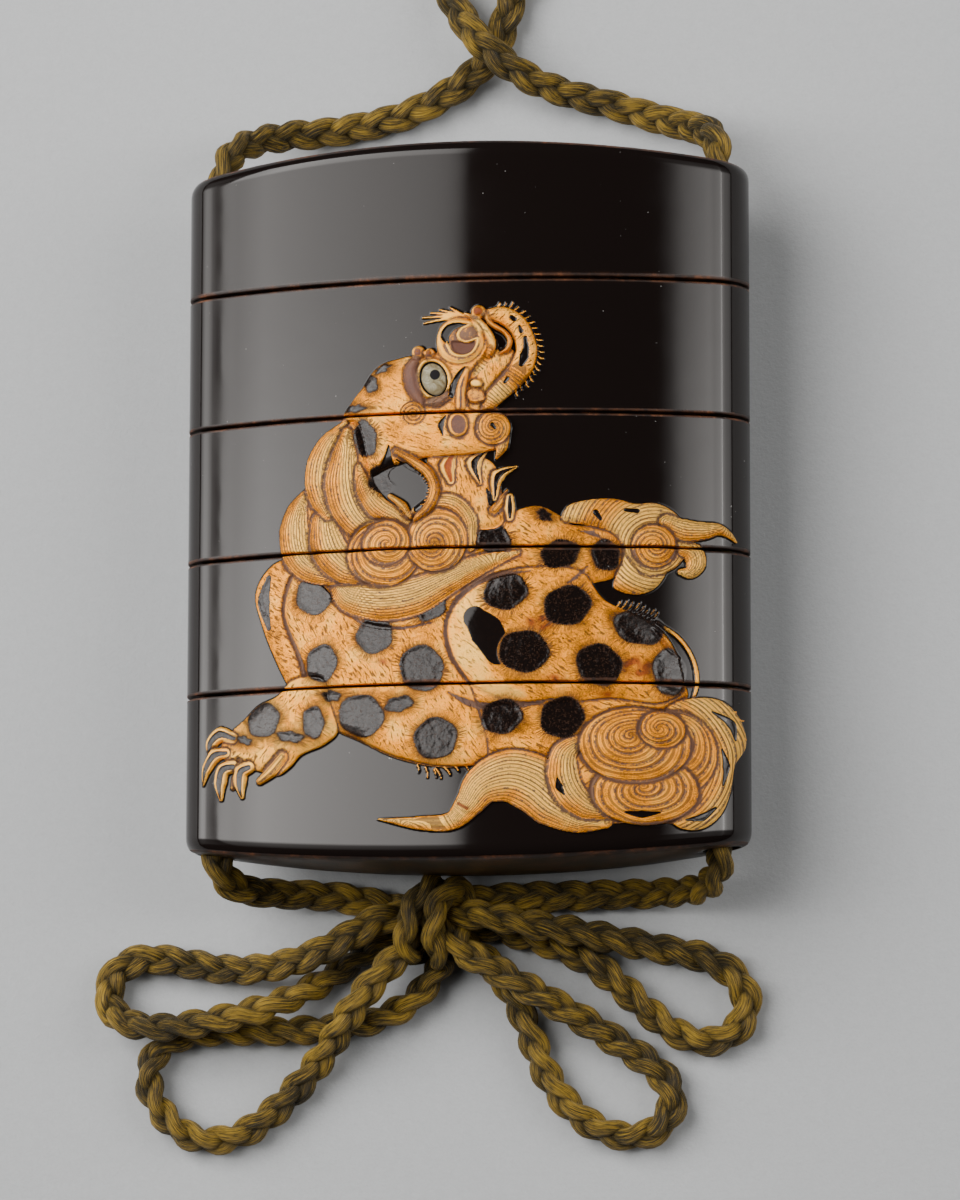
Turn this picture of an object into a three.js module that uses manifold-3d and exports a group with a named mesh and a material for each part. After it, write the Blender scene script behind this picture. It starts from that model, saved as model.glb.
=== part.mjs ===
// Four-tier inro (a lid on four stacked cases) lying on its back, with a braided cord tied in a bow.
// Millimetres. +Z up, the top of the inro points to +Y, the figured face looks up.
import * as THREE from "three";
import { mergeVertices } from "three/addons/utils/BufferGeometryUtils.js";
import Module from "manifold-3d";

const wasm = await Module();
wasm.setup();

// ---- Driving dimensions of the case -------------------------------------------------------
const HALF_WIDTH = 30.5;
const HALF_DEPTH = 11;
const FACE_RADIUS = 66; // the gently bowed front and back
const BACK_FLAT = 0.2; // how far the crown of the back is rubbed flat, so that the case lies still
const MID_Z = HALF_DEPTH - BACK_FLAT;
const LENGTH = 76.4;
const LID_HEIGHT = 15;
const CASE_HEIGHT = 14.35; // the three middle sections are alike
const END_ROUND = 1.5;
const END_PLAN_RADIUS = 235; // the two ends bulge a little, seen from the front
const SEAM_GAP = 0.3;

const RECESS_DEPTH = 3.5; // the section above slips over a raised lip this high
const FLOOR = 1.5;
const LID_TOP = 2.2;
const FIT_GAP = 0.3;
const LIP = { halfWidth: 24.3, halfDepth: 9.7 };
const HOLLOW = { halfWidth: 23.3, halfDepth: 8.9 };

const CHANNEL_X = 27.3;
const CHANNEL_RADIUS = 2.1;

// ---- Driving dimensions of the cord -------------------------------------------------------
const CORD_RADIUS = 1.65;
const CORD_SIDES = 8;
const CORD_STEP = 7.2; // length of one straight step of a bent stretch
const CORD_GAP = 0.4; // between one stretch and the next

// ---- Heights of the raised lacquer above the face -----------------------------------------
const RELIEF = { body: 0.45, leg: 0.55, tail: 0.6, head: 0.65, lock: 0.75, curl: 0.9, nose: 1.05 };
const EYE = { x: -1.4, y: 12.4, halfWidth: 1.35, halfHeight: 1.8, turn: 0.35, lift: 0.85 };

const group = new THREE.Group();

// ---- Solids: three.js geometry in and out of manifold -------------------------------------
function solidOf(geometry) {
  geometry.deleteAttribute("normal");
  geometry.deleteAttribute("uv");
  const merged = mergeVertices(geometry, 1e-5);
  const vertProperties = new Float32Array(merged.attributes.position.array);
  const triVerts = new Uint32Array(merged.index.array);
  return new wasm.Manifold(new wasm.Mesh({ numProp: 3, vertProperties, triVerts }));
}

function geometryOf(solid) {
  const { vertProperties, triVerts } = solid.getMesh();
  const geometry = new THREE.BufferGeometry();
  geometry.setAttribute("position", new THREE.BufferAttribute(new Float32Array(vertProperties), 3));
  geometry.setIndex(new THREE.BufferAttribute(new Uint32Array(triVerts), 1));
  geometry.computeVertexNormals();
  return geometry;
}

function addPiece(name, geometry, material) {
  const mesh = new THREE.Mesh(geometry, new THREE.MeshStandardMaterial(material));
  mesh.name = name;
  group.add(mesh);
}

// ---- The oval cross-section: two flat bows joined by tight round sides --------------------
function ovalShape({ halfWidth, halfDepth }, flat = 0) {
  const face = FACE_RADIUS - (HALF_DEPTH - halfDepth);
  const side = (2 * face * halfDepth - halfDepth ** 2 - halfWidth ** 2) / (2 * (face - halfWidth));
  const sideX = halfWidth - side;
  const faceY = face - halfDepth;
  const join = Math.atan2(faceY, sideX);
  const shape = new THREE.Shape();
  shape.absarc(sideX, 0, side, -join, join);
  shape.absarc(0, -faceY, face, join, Math.PI - join);
  shape.absarc(-sideX, 0, side, Math.PI - join, Math.PI + join);
  const flatTurn = Math.acos((face - flat) / face);
  shape.absarc(0, faceY, face, Math.PI + join, 1.5 * Math.PI - flatTurn);
  shape.absarc(0, faceY, face, 1.5 * Math.PI + flatTurn, 2 * Math.PI - join);
  return shape;
}

// A shape drawn in width and depth, carried along the length of the inro.
function alongLength(shape, from, to, round = 0, curveSegments = 4) {
  const geometry = new THREE.ExtrudeGeometry(shape, {
    depth: to - from - 2 * round,
    curveSegments,
    bevelEnabled: round > 0,
    bevelThickness: round,
    bevelSize: round,
    bevelOffset: -round,
    bevelSegments: 3,
  });
  geometry.rotateX(Math.PI / 2);
  geometry.translate(0, to - round, MID_Z);
  return geometry;
}

// The whole outer form, swollen by `lift`, with its ends rounded and bowed.
function outerForm(lift) {
  const oval = { halfWidth: HALF_WIDTH + lift, halfDepth: HALF_DEPTH + lift };
  const flat = BACK_FLAT + lift;
  const geometry = alongLength(ovalShape(oval, flat), -LENGTH / 2, LENGTH / 2, END_ROUND);
  const position = geometry.attributes.position;
  for (let i = 0; i < position.count; i += 1) {
    const bow = position.getX(i) ** 2 / (2 * END_PLAN_RADIUS);
    position.setY(i, position.getY(i) - Math.sign(position.getY(i)) * bow);
  }
  return solidOf(geometry);
}

function block(from, to) {
  const geometry = new THREE.BoxGeometry(80, to - from, 60);
  geometry.translate(0, (from + to) / 2, MID_Z);
  return solidOf(geometry);
}

// ---- Outlines of the figure, drawn on the face --------------------------------------------
function pad(x, y, halfWidth, halfHeight, turn = 0) {
  const shape = new THREE.Shape();
  shape.absellipse(x, y, halfWidth, halfHeight, 0, 2 * Math.PI, false, turn);
  return shape;
}

// A smooth closed outline through a few places.
function outline(places) {
  const curve = new THREE.CatmullRomCurve3(places.map(([x, y]) => new THREE.Vector3(x, y, 0)), true);
  return new THREE.Shape(curve.getPoints(places.length * 2));
}

// A lock of hair or a claw: it leaves its root at `heading` (degrees), turns by `bend` over its
// length, swells to `width` and ends in a point.
function lock(x, y, heading, length, bend, width, swell = 0.45) {
  const steps = 7;
  const sides = [[], []];
  const place = new THREE.Vector2(x, y);
  for (let i = 0; i <= steps; i += 1) {
    const along = i / steps;
    const turn = THREE.MathUtils.degToRad(heading + bend * along);
    const half = (width / 2) * Math.sin(Math.PI * along ** (Math.log(0.5) / Math.log(swell)));
    const across = new THREE.Vector2(-Math.sin(turn), Math.cos(turn)).multiplyScalar(half + 0.05);
    sides[0].push(place.clone().add(across));
    sides[1].unshift(place.clone().sub(across));
    place.add(new THREE.Vector2(Math.cos(turn), Math.sin(turn)).multiplyScalar(length / steps));
  }
  return new THREE.Shape([...sides[0], ...sides[1]]);
}

// ---- The lion-dog, looking back over its shoulder ------------------------------------------
const FIGURE = [
  {
    lift: RELIEF.body,
    shapes: [
      outline([
        [-18.6, -6.2], [-21.2, -9.5], [-20.4, -13], [-18.4, -18], [-15, -23.5], [-8.2, -26.1],
        [-2.2, -28.4], [4, -28], [13, -25], [25.2, -21.4], [25.4, -17], [22, -13], [17.4, -11.9],
        [14.6, -9], [14.4, -4.6], [10.8, -1.6], [6, -2.2], [-4, -3], [-12, -5],
      ]),
    ],
  },
  {
    lift: RELIEF.leg,
    shapes: [
      outline([
        [-16.4, -18.6], [-20, -20.4], [-25, -24], [-25, -26.6], [-22.5, -28.6], [-18, -29.5],
        [-15.6, -26.8], [-12, -24.6], [-12.6, -20.4],
      ]),
      lock(-24.2, -23.9, 190, 3.6, 55, 1.4),
      lock(-24.2, -26, 205, 4.4, 50, 1.5),
      lock(-23.2, -27.4, 235, 4.3, 40, 1.5),
      lock(-21.4, -27.8, 245, 4, 40, 1.4),
    ],
  },
  {
    lift: RELIEF.tail,
    shapes: [
      lock(13, -27.2, 178, 14, 62, 5, 0.4),
      lock(4.6, -31.3, 232, 13, -52, 2.6, 0.3),
      lock(12.4, -26, 235, 12, 120, 3.4),
      pad(19.4, -26.4, 6, 3.8),
      pad(20.2, -31.3, 5.5, 3.4),
      lock(23.6, -22.6, 10, 7.4, -30, 3),
      lock(25, -25.4, 0, 6, 10, 3),
      lock(25, -32.5, 20, 7, 60, 3.6),
      lock(13.2, -3.6, 25, 11, -38, 4),
      lock(22.6, -3.4, 12, 7.6, -34, 2.6),
      lock(15.6, -6.6, 305, 7, 50, 3),
    ],
  },
  {
    lift: RELIEF.head,
    shapes: [
      outline([
        [-11.8, 8.4], [-10.2, 10.8], [-8.1, 13.8], [-4.4, 14.7], [-1.8, 15.8], [0, 18.4],
        [4.4, 19.6], [7.6, 18.1], [8.9, 14.8], [7.6, 11.6], [5.6, 9.4], [6.4, 6.6], [5.6, 2],
        [6, -2], [-4, -2.4], [-9, 1],
      ]),
    ],
  },
  {
    lift: RELIEF.lock,
    shapes: [
      lock(-10.4, 8.6, 214, 13.4, 84, 3.6),
      lock(-10.4, 7.4, 244, 13.6, 72, 3.2),
      lock(-9.8, 4.4, 268, 8.6, 64, 2.8),
      lock(-15.2, 0.8, 222, 17.4, 142, 2.8),
      lock(-12.8, -0.6, 222, 11.6, 128, 2.6),
      lock(-12.2, -8.6, 296, 20.4, 92, 4.4),
      lock(-7, 4.6, 275, 7.4, 60, 3),
    ],
  },
  {
    lift: RELIEF.curl,
    shapes: [
      pad(-6.9, -5.3, 3.9, 3.4),
      pad(-1.4, -4.7, 3.4, 3.4),
      pad(4.6, 6.9, 1.7, 1.6),
      pad(21.8, -5.7, 2.9, 2.7),
      pad(19, -25.6, 3.6, 2.6),
      pad(-4.2, 8.7, 1.1, 1.1),
    ],
  },
  { lift: RELIEF.nose, shapes: [pad(1.5, 16.2, 2.5, 2.3)] },
];

// The open mouth is ground left bare between the nose and the jaw.
const MOUTH = lock(4.2, 18, 275, 8.6, -22, 2.4);

function standing(shape, curveSegments = 4) {
  const geometry = new THREE.ExtrudeGeometry(shape, { depth: 24, bevelEnabled: false, curveSegments });
  geometry.translate(0, 0, MID_Z + 1);
  return solidOf(geometry);
}

function raisedFigure() {
  let figure = null;
  for (const { lift, shapes } of FIGURE) {
    let layer = null;
    for (const shape of shapes) {
      const piece = standing(shape);
      layer = layer ? layer.add(piece) : piece;
    }
    layer = layer.intersect(outerForm(lift));
    figure = figure ? figure.add(layer) : layer;
  }
  const withinSides = new THREE.BoxGeometry(2 * HALF_WIDTH - 0.4, LENGTH, 60);
  return figure.subtract(standing(MOUTH)).intersect(solidOf(withinSides));
}

// ---- Sections -----------------------------------------------------------------------------
const TOP = LENGTH / 2;
const SEAMS = [0, 1, 2, 3].map((tier) => TOP - LID_HEIGHT - tier * CASE_HEIGHT);
const NAMES = ["lid", "case_1", "case_2", "case_3", "case_4"];
const INNER_SEGMENTS = 3;

function cavity(size, from, to) {
  return solidOf(alongLength(ovalShape(size), from, to, 0, INNER_SEGMENTS));
}

function channels() {
  const bores = [-CHANNEL_X, CHANNEL_X].map((x) => {
    const bore = new THREE.CylinderGeometry(CHANNEL_RADIUS, CHANNEL_RADIUS, 2 * LENGTH, 12);
    bore.translate(x, 0, MID_Z);
    return solidOf(bore);
  });
  return bores[0].add(bores[1]);
}

function makeSections() {
  const recess = { halfWidth: LIP.halfWidth + FIT_GAP, halfDepth: LIP.halfDepth + FIT_GAP };
  const bores = channels();
  const pocket = { ...EYE, halfWidth: EYE.halfWidth + FIT_GAP, halfHeight: EYE.halfHeight + FIT_GAP };
  const eyePocket = standing(pad(pocket.x, pocket.y, pocket.halfWidth, pocket.halfHeight, pocket.turn))
    .subtract(outerForm(EYE.lift - 0.65));
  const whole = outerForm(0).add(raisedFigure()).subtract(bores).subtract(eyePocket);
  NAMES.forEach((name, tier) => {
    const isLid = tier === 0;
    const isFoot = tier === NAMES.length - 1;
    const top = isLid ? TOP + 1 : SEAMS[tier - 1] - SEAM_GAP / 2;
    const bottom = isFoot ? -TOP - 1 : SEAMS[tier] + SEAM_GAP / 2;
    let section = whole.intersect(block(bottom, top));
    let floor = isFoot ? -TOP + LID_TOP : bottom;
    if (!isFoot) {
      section = section.subtract(cavity(recess, bottom - 1, bottom + RECESS_DEPTH));
      floor = bottom + RECESS_DEPTH + FLOOR;
    }
    if (isLid) {
      section = section.subtract(cavity(HOLLOW, bottom + RECESS_DEPTH - 1, TOP - LID_TOP));
    } else {
      const rim = SEAMS[tier - 1] + SEAM_GAP / 2 + RECESS_DEPTH - FIT_GAP;
      section = section.add(cavity(LIP, top - FLOOR, rim)).subtract(cavity(HOLLOW, floor, rim + 1));
    }
    addPiece(name, geometryOf(section), { color: 0x1b1413, roughness: 0.18, metalness: 0.05 });
  });
}

function makeEye() {
  const inlay = standing(pad(EYE.x, EYE.y, EYE.halfWidth, EYE.halfHeight, EYE.turn))
    .intersect(outerForm(EYE.lift))
    .subtract(outerForm(EYE.lift - 0.65 + FIT_GAP));
  addPiece("eye_inlay", geometryOf(inlay), { color: 0xd8d2c0, roughness: 0.25, metalness: 0.1 });
}

// ---- Cord ---------------------------------------------------------------------------------
// Places are [x, y, z] of the middle of the cord. Inside the case it runs straight; the stretches
// outside start at the mouths of the channels.
const LOW = 1.8;
const MOUTH_Y = 37.2;
const TOP_ROUTE = [
  [-CHANNEL_X, MOUTH_Y, MID_Z], [-CHANNEL_X, 38.4, MID_Z], [-26.6, 40.2, 9.8],
  [-24.8, 42, 6.8], [-21.4, 43.3, 3.6],
  [-17, 43.9, LOW], [-9.4, 45.3, LOW], [-4.9, 47.2, LOW], [-1.4, 49.5, LOW], [1, 52, LOW],
  [2.4, 55.4, LOW], [4, 61, LOW], [10.5, 69.5, LOW], [14.5, 78, LOW], [12, 88, LOW],
  [2, 94, LOW], [-9.5, 91.5, LOW], [-15.5, 82, LOW], [-12.5, 71, LOW], [-6, 62.5, LOW],
  [-3, 57.4, 2.8], [-1, 54, 5], [1.8, 51.2, 5.6], [5, 48.8, 4.4], [9, 47.2, 2.2],
  [13, 46.1, LOW], [18.4, 44.4, LOW], [23, 42.6, 4.2], [26, 40.8, 8.2],
  [27, 39.4, 10.2], [CHANNEL_X, 38.2, MID_Z], [CHANNEL_X, MOUTH_Y, MID_Z],
];
const TIE_LEFT = [
  [-CHANNEL_X, -MOUTH_Y, MID_Z], [-CHANNEL_X, -38, MID_Z], [-26.6, -39.2, 9], [-25.2, -40, 6.6], [-21.6, -40.1, 3],
  [-15.4, -40.4, LOW], [-11, -41.4, LOW],
];
const TIE_RIGHT = [
  [CHANNEL_X, -MOUTH_Y, MID_Z], [CHANNEL_X, -38, MID_Z], [26.5, -39.3, 9], [24.8, -40.2, 6.4], [20.4, -40.5, 2.8],
  [14, -40.6, LOW], [7, -40.6, LOW], [-0.4, -40.9, LOW],
];

const KNOT = { x: -5.8, y: -42.6, halfWidth: 4.3, halfLength: 3.9, height: 6.8 };

const BOW_LOOPS = [
  [
    [-10.9, -43.1, 5.4], [-14, -45, 5.4], [-17.6, -46.8, 5.4], [-22, -48, 4.4], [-28, -48.2, 2.6],
    [-34.4, -47, LOW], [-38.8, -46.9, LOW], [-41.4, -49.2, LOW], [-41, -52.4, 2.4],
    [-37.8, -54.2, 4.5], [-33.6, -54.5, 5.4],
    [-27.6, -53.6, 5.3], [-22, -52, 4.6], [-17.6, -49.6, LOW], [-13, -46.6, LOW], [-11, -45.2, LOW],
  ],
  [
    [-8.4, -47, 5.3], [-10.6, -49.2, 5.4], [-13.6, -52.8, 5.3], [-17, -57.2, 2.6],
    [-21.2, -62, LOW], [-26.4, -66, LOW], [-31.8, -66.4, LOW], [-36, -62.6, LOW], [-37, -58.4, LOW],
    [-34, -55.4, LOW], [-28, -54.8, LOW], [-20.5, -54.8, LOW], [-12, -53.8, LOW],
    [-7, -51.4, LOW], [-4.8, -48, LOW],
  ],
  [
    [-0.7, -42.6, 5.4], [5.5, -43.8, 5.4], [12.4, -44.9, 3.4], [19.4, -46.4, LOW],
    [24.8, -47.6, LOW], [28.4, -50.3, LOW], [28.6, -54, LOW], [25.6, -56.5, LOW],
    [21.8, -55.9, LOW],
    [18.6, -53.6, LOW], [15.6, -50.8, LOW], [12, -47.8, LOW], [6.4, -45.4, LOW], [3, -44.4, LOW],
  ],
  [
    [-2.4, -46, 5.3], [1.3, -48.2, 5.3], [6, -51, 5], [10.6, -53.6, 3], [15, -56.5, LOW],
    [19, -59.2, LOW], [20.9, -62, LOW], [19.9, -65.1, LOW], [16.9, -66.5, LOW], [13, -65.8, LOW],
    [9.4, -63.2, LOW],
    [6.8, -59.4, LOW], [5, -54.6, LOW], [3, -50.4, LOW], [0.6, -47.6, LOW],
  ],
];

function tube(route, stepLength) {
  const curve = new THREE.CatmullRomCurve3(route.map((place) => new THREE.Vector3(...place)));
  const section = new THREE.Shape();
  for (let i = 0; i < CORD_SIDES; i += 1) {
    const turn = ((i + 0.5) / CORD_SIDES) * 2 * Math.PI;
    const corner = [CORD_RADIUS * Math.cos(turn), CORD_RADIUS * Math.sin(turn)];
    i === 0 ? section.moveTo(...corner) : section.lineTo(...corner);
  }
  return new THREE.ExtrudeGeometry(section, {
    steps: Math.max(1, Math.round(curve.getLength() / stepLength)),
    extrudePath: curve,
    bevelEnabled: false,
  });
}

function makeCord() {
  const silk = { color: 0x5d5424, roughness: 0.8, metalness: 0 };
  const runnerEnd = MOUTH_Y - CORD_GAP;
  for (const [side, x] of [["left", -CHANNEL_X], ["right", CHANNEL_X]]) {
    const runner = [[x, -runnerEnd, MID_Z], [x, 0, MID_Z], [x, runnerEnd, MID_Z]];
    addPiece(`cord_runner_${side}`, tube(runner, LENGTH), silk);
  }
  addPiece("cord_top", tube(TOP_ROUTE, CORD_STEP), silk);
  addPiece("cord_tie_left", tube(TIE_LEFT, CORD_STEP), silk);
  addPiece("cord_tie_right", tube(TIE_RIGHT, CORD_STEP), silk);
  BOW_LOOPS.forEach((route, i) => addPiece(`bow_loop_${i + 1}`, tube(route, CORD_STEP), silk));
  const lump = new THREE.SphereGeometry(1, 12, 8);
  lump.scale(KNOT.halfWidth, KNOT.halfLength, KNOT.height / 2);
  lump.translate(KNOT.x, KNOT.y, KNOT.height / 2);
  addPiece("bow_knot", lump, silk);
}

makeSections();
makeEye();
makeCord();

export default group;
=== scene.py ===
"""Four-tier inro with a raised gold lion-dog: the lacquered case, its shell eye and its silk cord."""
import math

import bpy
import numpy as np
from bpy.props import FloatProperty, FloatVectorProperty, PointerProperty
from mathutils import Matrix, Vector
from mathutils.geometry import delaunay_2d_cdt


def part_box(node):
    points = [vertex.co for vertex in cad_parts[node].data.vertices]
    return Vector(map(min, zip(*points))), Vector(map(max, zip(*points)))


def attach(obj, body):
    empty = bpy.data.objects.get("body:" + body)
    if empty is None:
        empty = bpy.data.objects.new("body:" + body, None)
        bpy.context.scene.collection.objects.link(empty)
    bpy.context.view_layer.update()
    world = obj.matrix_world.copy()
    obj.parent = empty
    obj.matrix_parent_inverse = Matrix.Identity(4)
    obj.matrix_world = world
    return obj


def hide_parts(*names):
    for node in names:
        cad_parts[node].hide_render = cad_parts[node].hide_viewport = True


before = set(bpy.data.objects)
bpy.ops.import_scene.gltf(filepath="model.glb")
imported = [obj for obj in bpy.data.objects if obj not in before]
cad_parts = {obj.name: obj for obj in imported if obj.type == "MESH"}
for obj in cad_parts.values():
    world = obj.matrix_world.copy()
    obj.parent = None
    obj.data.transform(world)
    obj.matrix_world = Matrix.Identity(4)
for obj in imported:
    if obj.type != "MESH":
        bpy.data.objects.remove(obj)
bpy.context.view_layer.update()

bl_info = {
    "name": "Inro case",
    "version": (1, 0, 0),
    "blender": (4, 5, 0),
    "location": "3D View > Sidebar > Inro",
    "description": "Builds a tiered lacquer case with raised gold work and a braided cord",
    "category": "Add Mesh",
}

# ---- Sizes, in millimetres ---------------------------------------------------------------------
MM = 0.001
SECTIONS = ("lid", "case_1", "case_2", "case_3", "case_4")


def box_mm(node):
    low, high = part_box(node)
    return np.array(low) / MM, np.array(high) / MM


BACK_FLAT = 0.2
FACE_RADIUS = 66.0
HALF_WIDTH = box_mm("lid")[1][0]
HALF_DEPTH = (box_mm("lid")[1][2] + BACK_FLAT) / 2
MID_Z = HALF_DEPTH - BACK_FLAT
END_Y = box_mm("lid")[1][1]
END_ROUND = 1.5
END_PLAN_RADIUS = 235.0
END_DOME = 0.5
LIP_SIZE = (24.3, 9.7)
RECESS_SIZE = (24.6, 10.0)
HOLLOW_SIZE = (23.3, 8.9)
RECESS_DEPTH = 3.5
LIP_HEIGHT = RECESS_DEPTH - 0.3
SEAM_GAP = 0.3
FLOOR = 1.5
END_WALL = 2.2
CHANNEL_X = 27.3
CHANNEL_RADIUS = 2.1
SEAM_ROUND = 0.16


# ---- Outlines and curves -----------------------------------------------------------------------
def smooth(low, high, value):
    share = np.clip((value - low) / (high - low), 0.0, 1.0)
    return share * share * (3 - 2 * share)


def spline(points, closed=False, steps=8):
    """A centripetal Catmull-Rom curve through the points, whatever their number of dimensions."""
    points = np.array(points, float)
    if closed:
        points = np.vstack([points[-1], points, points[:2]])
    else:
        points = np.vstack([2 * points[0] - points[1], points, 2 * points[-1] - points[-2]])
    found = []
    for a, b, c, d in zip(points, points[1:], points[2:], points[3:]):
        spans = [max(math.dist(p, q), 1e-6) ** 0.5 for p, q in ((a, b), (b, c), (c, d))]
        knots = np.cumsum([0.0] + spans)
        for t in np.linspace(knots[1], knots[2], steps, endpoint=False):
            level = [a, b, c, d]
            for reach in (1, 2):
                level = [
                    ((knots[i + reach] - t) * p + (t - knots[i]) * q) / (knots[i + reach] - knots[i])
                    for i, (p, q) in enumerate(zip(level, level[1:]))
                ]
            found.append(((knots[2] - t) * level[0] + (t - knots[1]) * level[1]) / (knots[2] - knots[1]))
    if not closed:
        found.append(points[-2])
    return np.array(found)


def oval(half_width, half_depth, front_step, back_step, flat=0.0):
    """The case's cross-section, anticlockwise from the right-hand side: places (x, z) and normals."""
    face = FACE_RADIUS - (HALF_DEPTH - half_depth)
    side = (2 * face * half_depth - half_depth**2 - half_width**2) / (2 * (face - half_width))
    side_x, face_z = half_width - side, face - half_depth
    join = math.atan2(face_z, side_x)
    flat_turn = math.acos((face - flat) / face)
    half_turn = math.pi
    arcs = [
        (side_x, 0, side, 0, join, front_step),
        (0, -face_z, face, join, half_turn - join, front_step),
        (-side_x, 0, side, half_turn - join, half_turn, front_step),
        (-side_x, 0, side, half_turn, half_turn + join, back_step),
        (0, face_z, face, half_turn + join, 1.5 * half_turn - flat_turn, back_step),
        (0, face_z, face, 1.5 * half_turn + flat_turn, 2 * half_turn - join, back_step),
        (side_x, 0, side, -join, 0, back_step),
    ]
    places, normals = [], []
    for x, z, radius, start, end, step in arcs:
        count = max(2, round(radius * abs(end - start) / step))
        turns = np.linspace(start, end, count, endpoint=False)
        if flat and radius == face and end == 1.5 * half_turn - flat_turn:
            turns = np.append(turns, end)
        way = np.stack([np.cos(turns), np.sin(turns)], axis=1)
        places.append(np.array([x, z]) + radius * way)
        normals.append(way)
    return np.vstack(places), np.vstack(normals)


def within(places, loop):
    """Which places are inside a closed outline."""
    inside = np.zeros(len(places), bool)
    x, y = places[:, 0], places[:, 1]
    for a, b in zip(loop, np.roll(loop, -1, axis=0)):
        if a[1] != b[1]:
            spans = (a[1] > y) != (b[1] > y)
            inside ^= spans & (x < (b[0] - a[0]) * (y - a[1]) / (b[1] - a[1]) + a[0])
    return inside


# ---- The raised figure -------------------------------------------------------------------------
MARGIN = 1.2
CURL_ARMS = 3
FINE_GROOVE = (0.7, 0.12)
TUFT_RINGS = (21.3, -5.4, 0.38, 1.0)


class Relief:
    """Height in mm and the values painted for the finish, at places (x, y) on the front."""

    FIELDS = ("height", "gold", "tone", "line", "worn", "ruddy", "hair", "wave_c", "wave_s", "fur",
              "flow_c", "flow_s")

    def __init__(self, x, y):
        self.shape = x.shape
        self.x, self.y = x.ravel(), y.ravel()
        for name in self.FIELDS:
            setattr(self, name, np.zeros(self.x.size))
        self.tone += 0.5

    def field(self, name):
        return getattr(self, name).reshape(self.shape)

    def near(self, places, margin):
        low, high = np.min(places, axis=0) - margin, np.max(places, axis=0) + margin
        inside = (self.x > low[0]) & (self.x < high[0]) & (self.y > low[1]) & (self.y < high[1])
        return np.nonzero(inside)[0]

    def lay(self, at, depth, edge=0.07, **values):
        """Cover what is there with new values wherever depth is above 0."""
        cover = smooth(-edge, edge, depth)
        if "gold" in values:
            values = {"hair": 0.0, "fur": 0.0} | values
        for name, value in values.items():
            held = getattr(self, name)
            held[at] = held[at] * (1 - cover) + value * cover

    def put(self, places, halves=None, groove=None, rounded=None, sink=None, over=None, flow=None, edge=0.07,
            **values):
        """Lay values on an ellipse (x, y, half width, half height, turn), a stroke or a closed outline.

        groove is a crease's strength and width; rounded a shoulder's top, drop and width; sink a depth
        below what is there and over a least height; flow the hairs' heading, strength and inset.
        """
        if np.ndim(places[0]) == 0:
            at, depth, _, _ = self.disc(*places)
        elif halves:
            at, depth, _, _ = self.stroke(places, halves)
        else:
            at, depth = self.area(places)
        if groove:
            self.crease(at, depth, *groove)
        if rounded:
            values["height"] = self.shoulder(depth, *rounded)
        if sink:
            values["height"] = self.height[at] - sink
        if over:
            values["height"] = np.maximum(self.height[at], over)
        if flow:
            values |= self.flow(depth, *flow)
        self.lay(at, depth, edge, **values)

    def gild(self, places, halves=None, **values):
        """The same in gold with no engraved line."""
        self.put(places, halves, gold=1.0, line=0.0, **values)

    def crease(self, at, depth, strength=0.7, width=0.16):
        """A dark groove along the edge where depth is 0, a little to the outside; the groove is real and its
        dark line is partly painted shade, and further out a wider band of painted shade is laid on the gold.
        """
        groove = 1.1 * strength * np.exp(-(((depth + 0.13) / width) ** 2)) * (self.gold[at] > 0.3)
        self.line[at] = np.maximum(self.line[at], groove)
        self.height[at] -= 0.08 * groove
        # painted shade: rubbed mauve fading out from the edge, as if cast by the raised shape
        shade = strength * smooth(-0.7, -0.05, depth) * (self.gold[at] > 0.3)
        self.worn[at] = np.maximum(self.worn[at], shade)

    # -- measuring shapes --
    def polyline(self, at, curve, closed):
        """Distance to a curve, the share of its length at the nearest place, and the side (+1 left)."""
        x, y = self.x[at], self.y[at]
        best = np.full(at.size, 1e9)
        along, side = np.zeros(at.size), np.ones(at.size)
        ends = np.roll(curve, -1, axis=0) if closed else curve[1:]
        count = len(ends)
        for i, (a, b) in enumerate(zip(curve, ends)):
            step = b - a
            size = max(step @ step, 1e-12)
            t = np.clip(((x - a[0]) * step[0] + (y - a[1]) * step[1]) / size, 0, 1)
            dx, dy = x - a[0] - t * step[0], y - a[1] - t * step[1]
            away = dx * dx + dy * dy
            closer = away < best
            best = np.where(closer, away, best)
            along = np.where(closer, (i + t) / count, along)
            side = np.where(closer, np.sign(step[0] * dy - step[1] * dx + 1e-12), side)
        return np.sqrt(best), along, side

    def area(self, points):
        """Where a smooth closed outline lies and how deep each place is inside it."""
        curve = spline(points, closed=True, steps=5)
        at = self.near(curve, MARGIN)
        away, _, _ = self.polyline(at, curve, closed=True)
        inside = within(np.stack([self.x[at], self.y[at]], axis=1), curve)
        return at, np.where(inside, away, -away)

    def stroke(self, points, halves):
        """Where a tapered stroke lies, its depth, the share along it and the share across it."""
        curve = spline(points)
        at = self.near(curve, max(halves) + MARGIN)
        away, along, side = self.polyline(at, curve, closed=False)
        half = np.maximum(np.interp(along, np.linspace(0, 1, len(halves)), halves), 0.04)
        return at, half - away, along, side * away / half

    def disc(self, x, y, half_width, half_height, turn=0.0, margin=MARGIN):
        """Where an ellipse lies, its depth, the share of its radius and the angle round it."""
        reach = max(half_width, half_height)
        at = self.near(np.array([[x - reach, y - reach], [x + reach, y + reach]]), margin)
        c, s = math.cos(math.radians(turn)), math.sin(math.radians(turn))
        dx, dy = self.x[at] - x, self.y[at] - y
        u, v = (c * dx + s * dy) / half_width, (c * dy - s * dx) / half_height
        share = np.hypot(u, v)
        return at, (1 - share) * min(half_width, half_height), share, np.arctan2(v, u)

    # -- ways of working the gold --
    def shoulder(self, depth, top, drop, width):
        """A rounded edge: `drop` below `top` at the outline, full height `width` further in."""
        return top - drop * (1 - np.clip(depth / width, 0, 1)) ** 2

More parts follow.
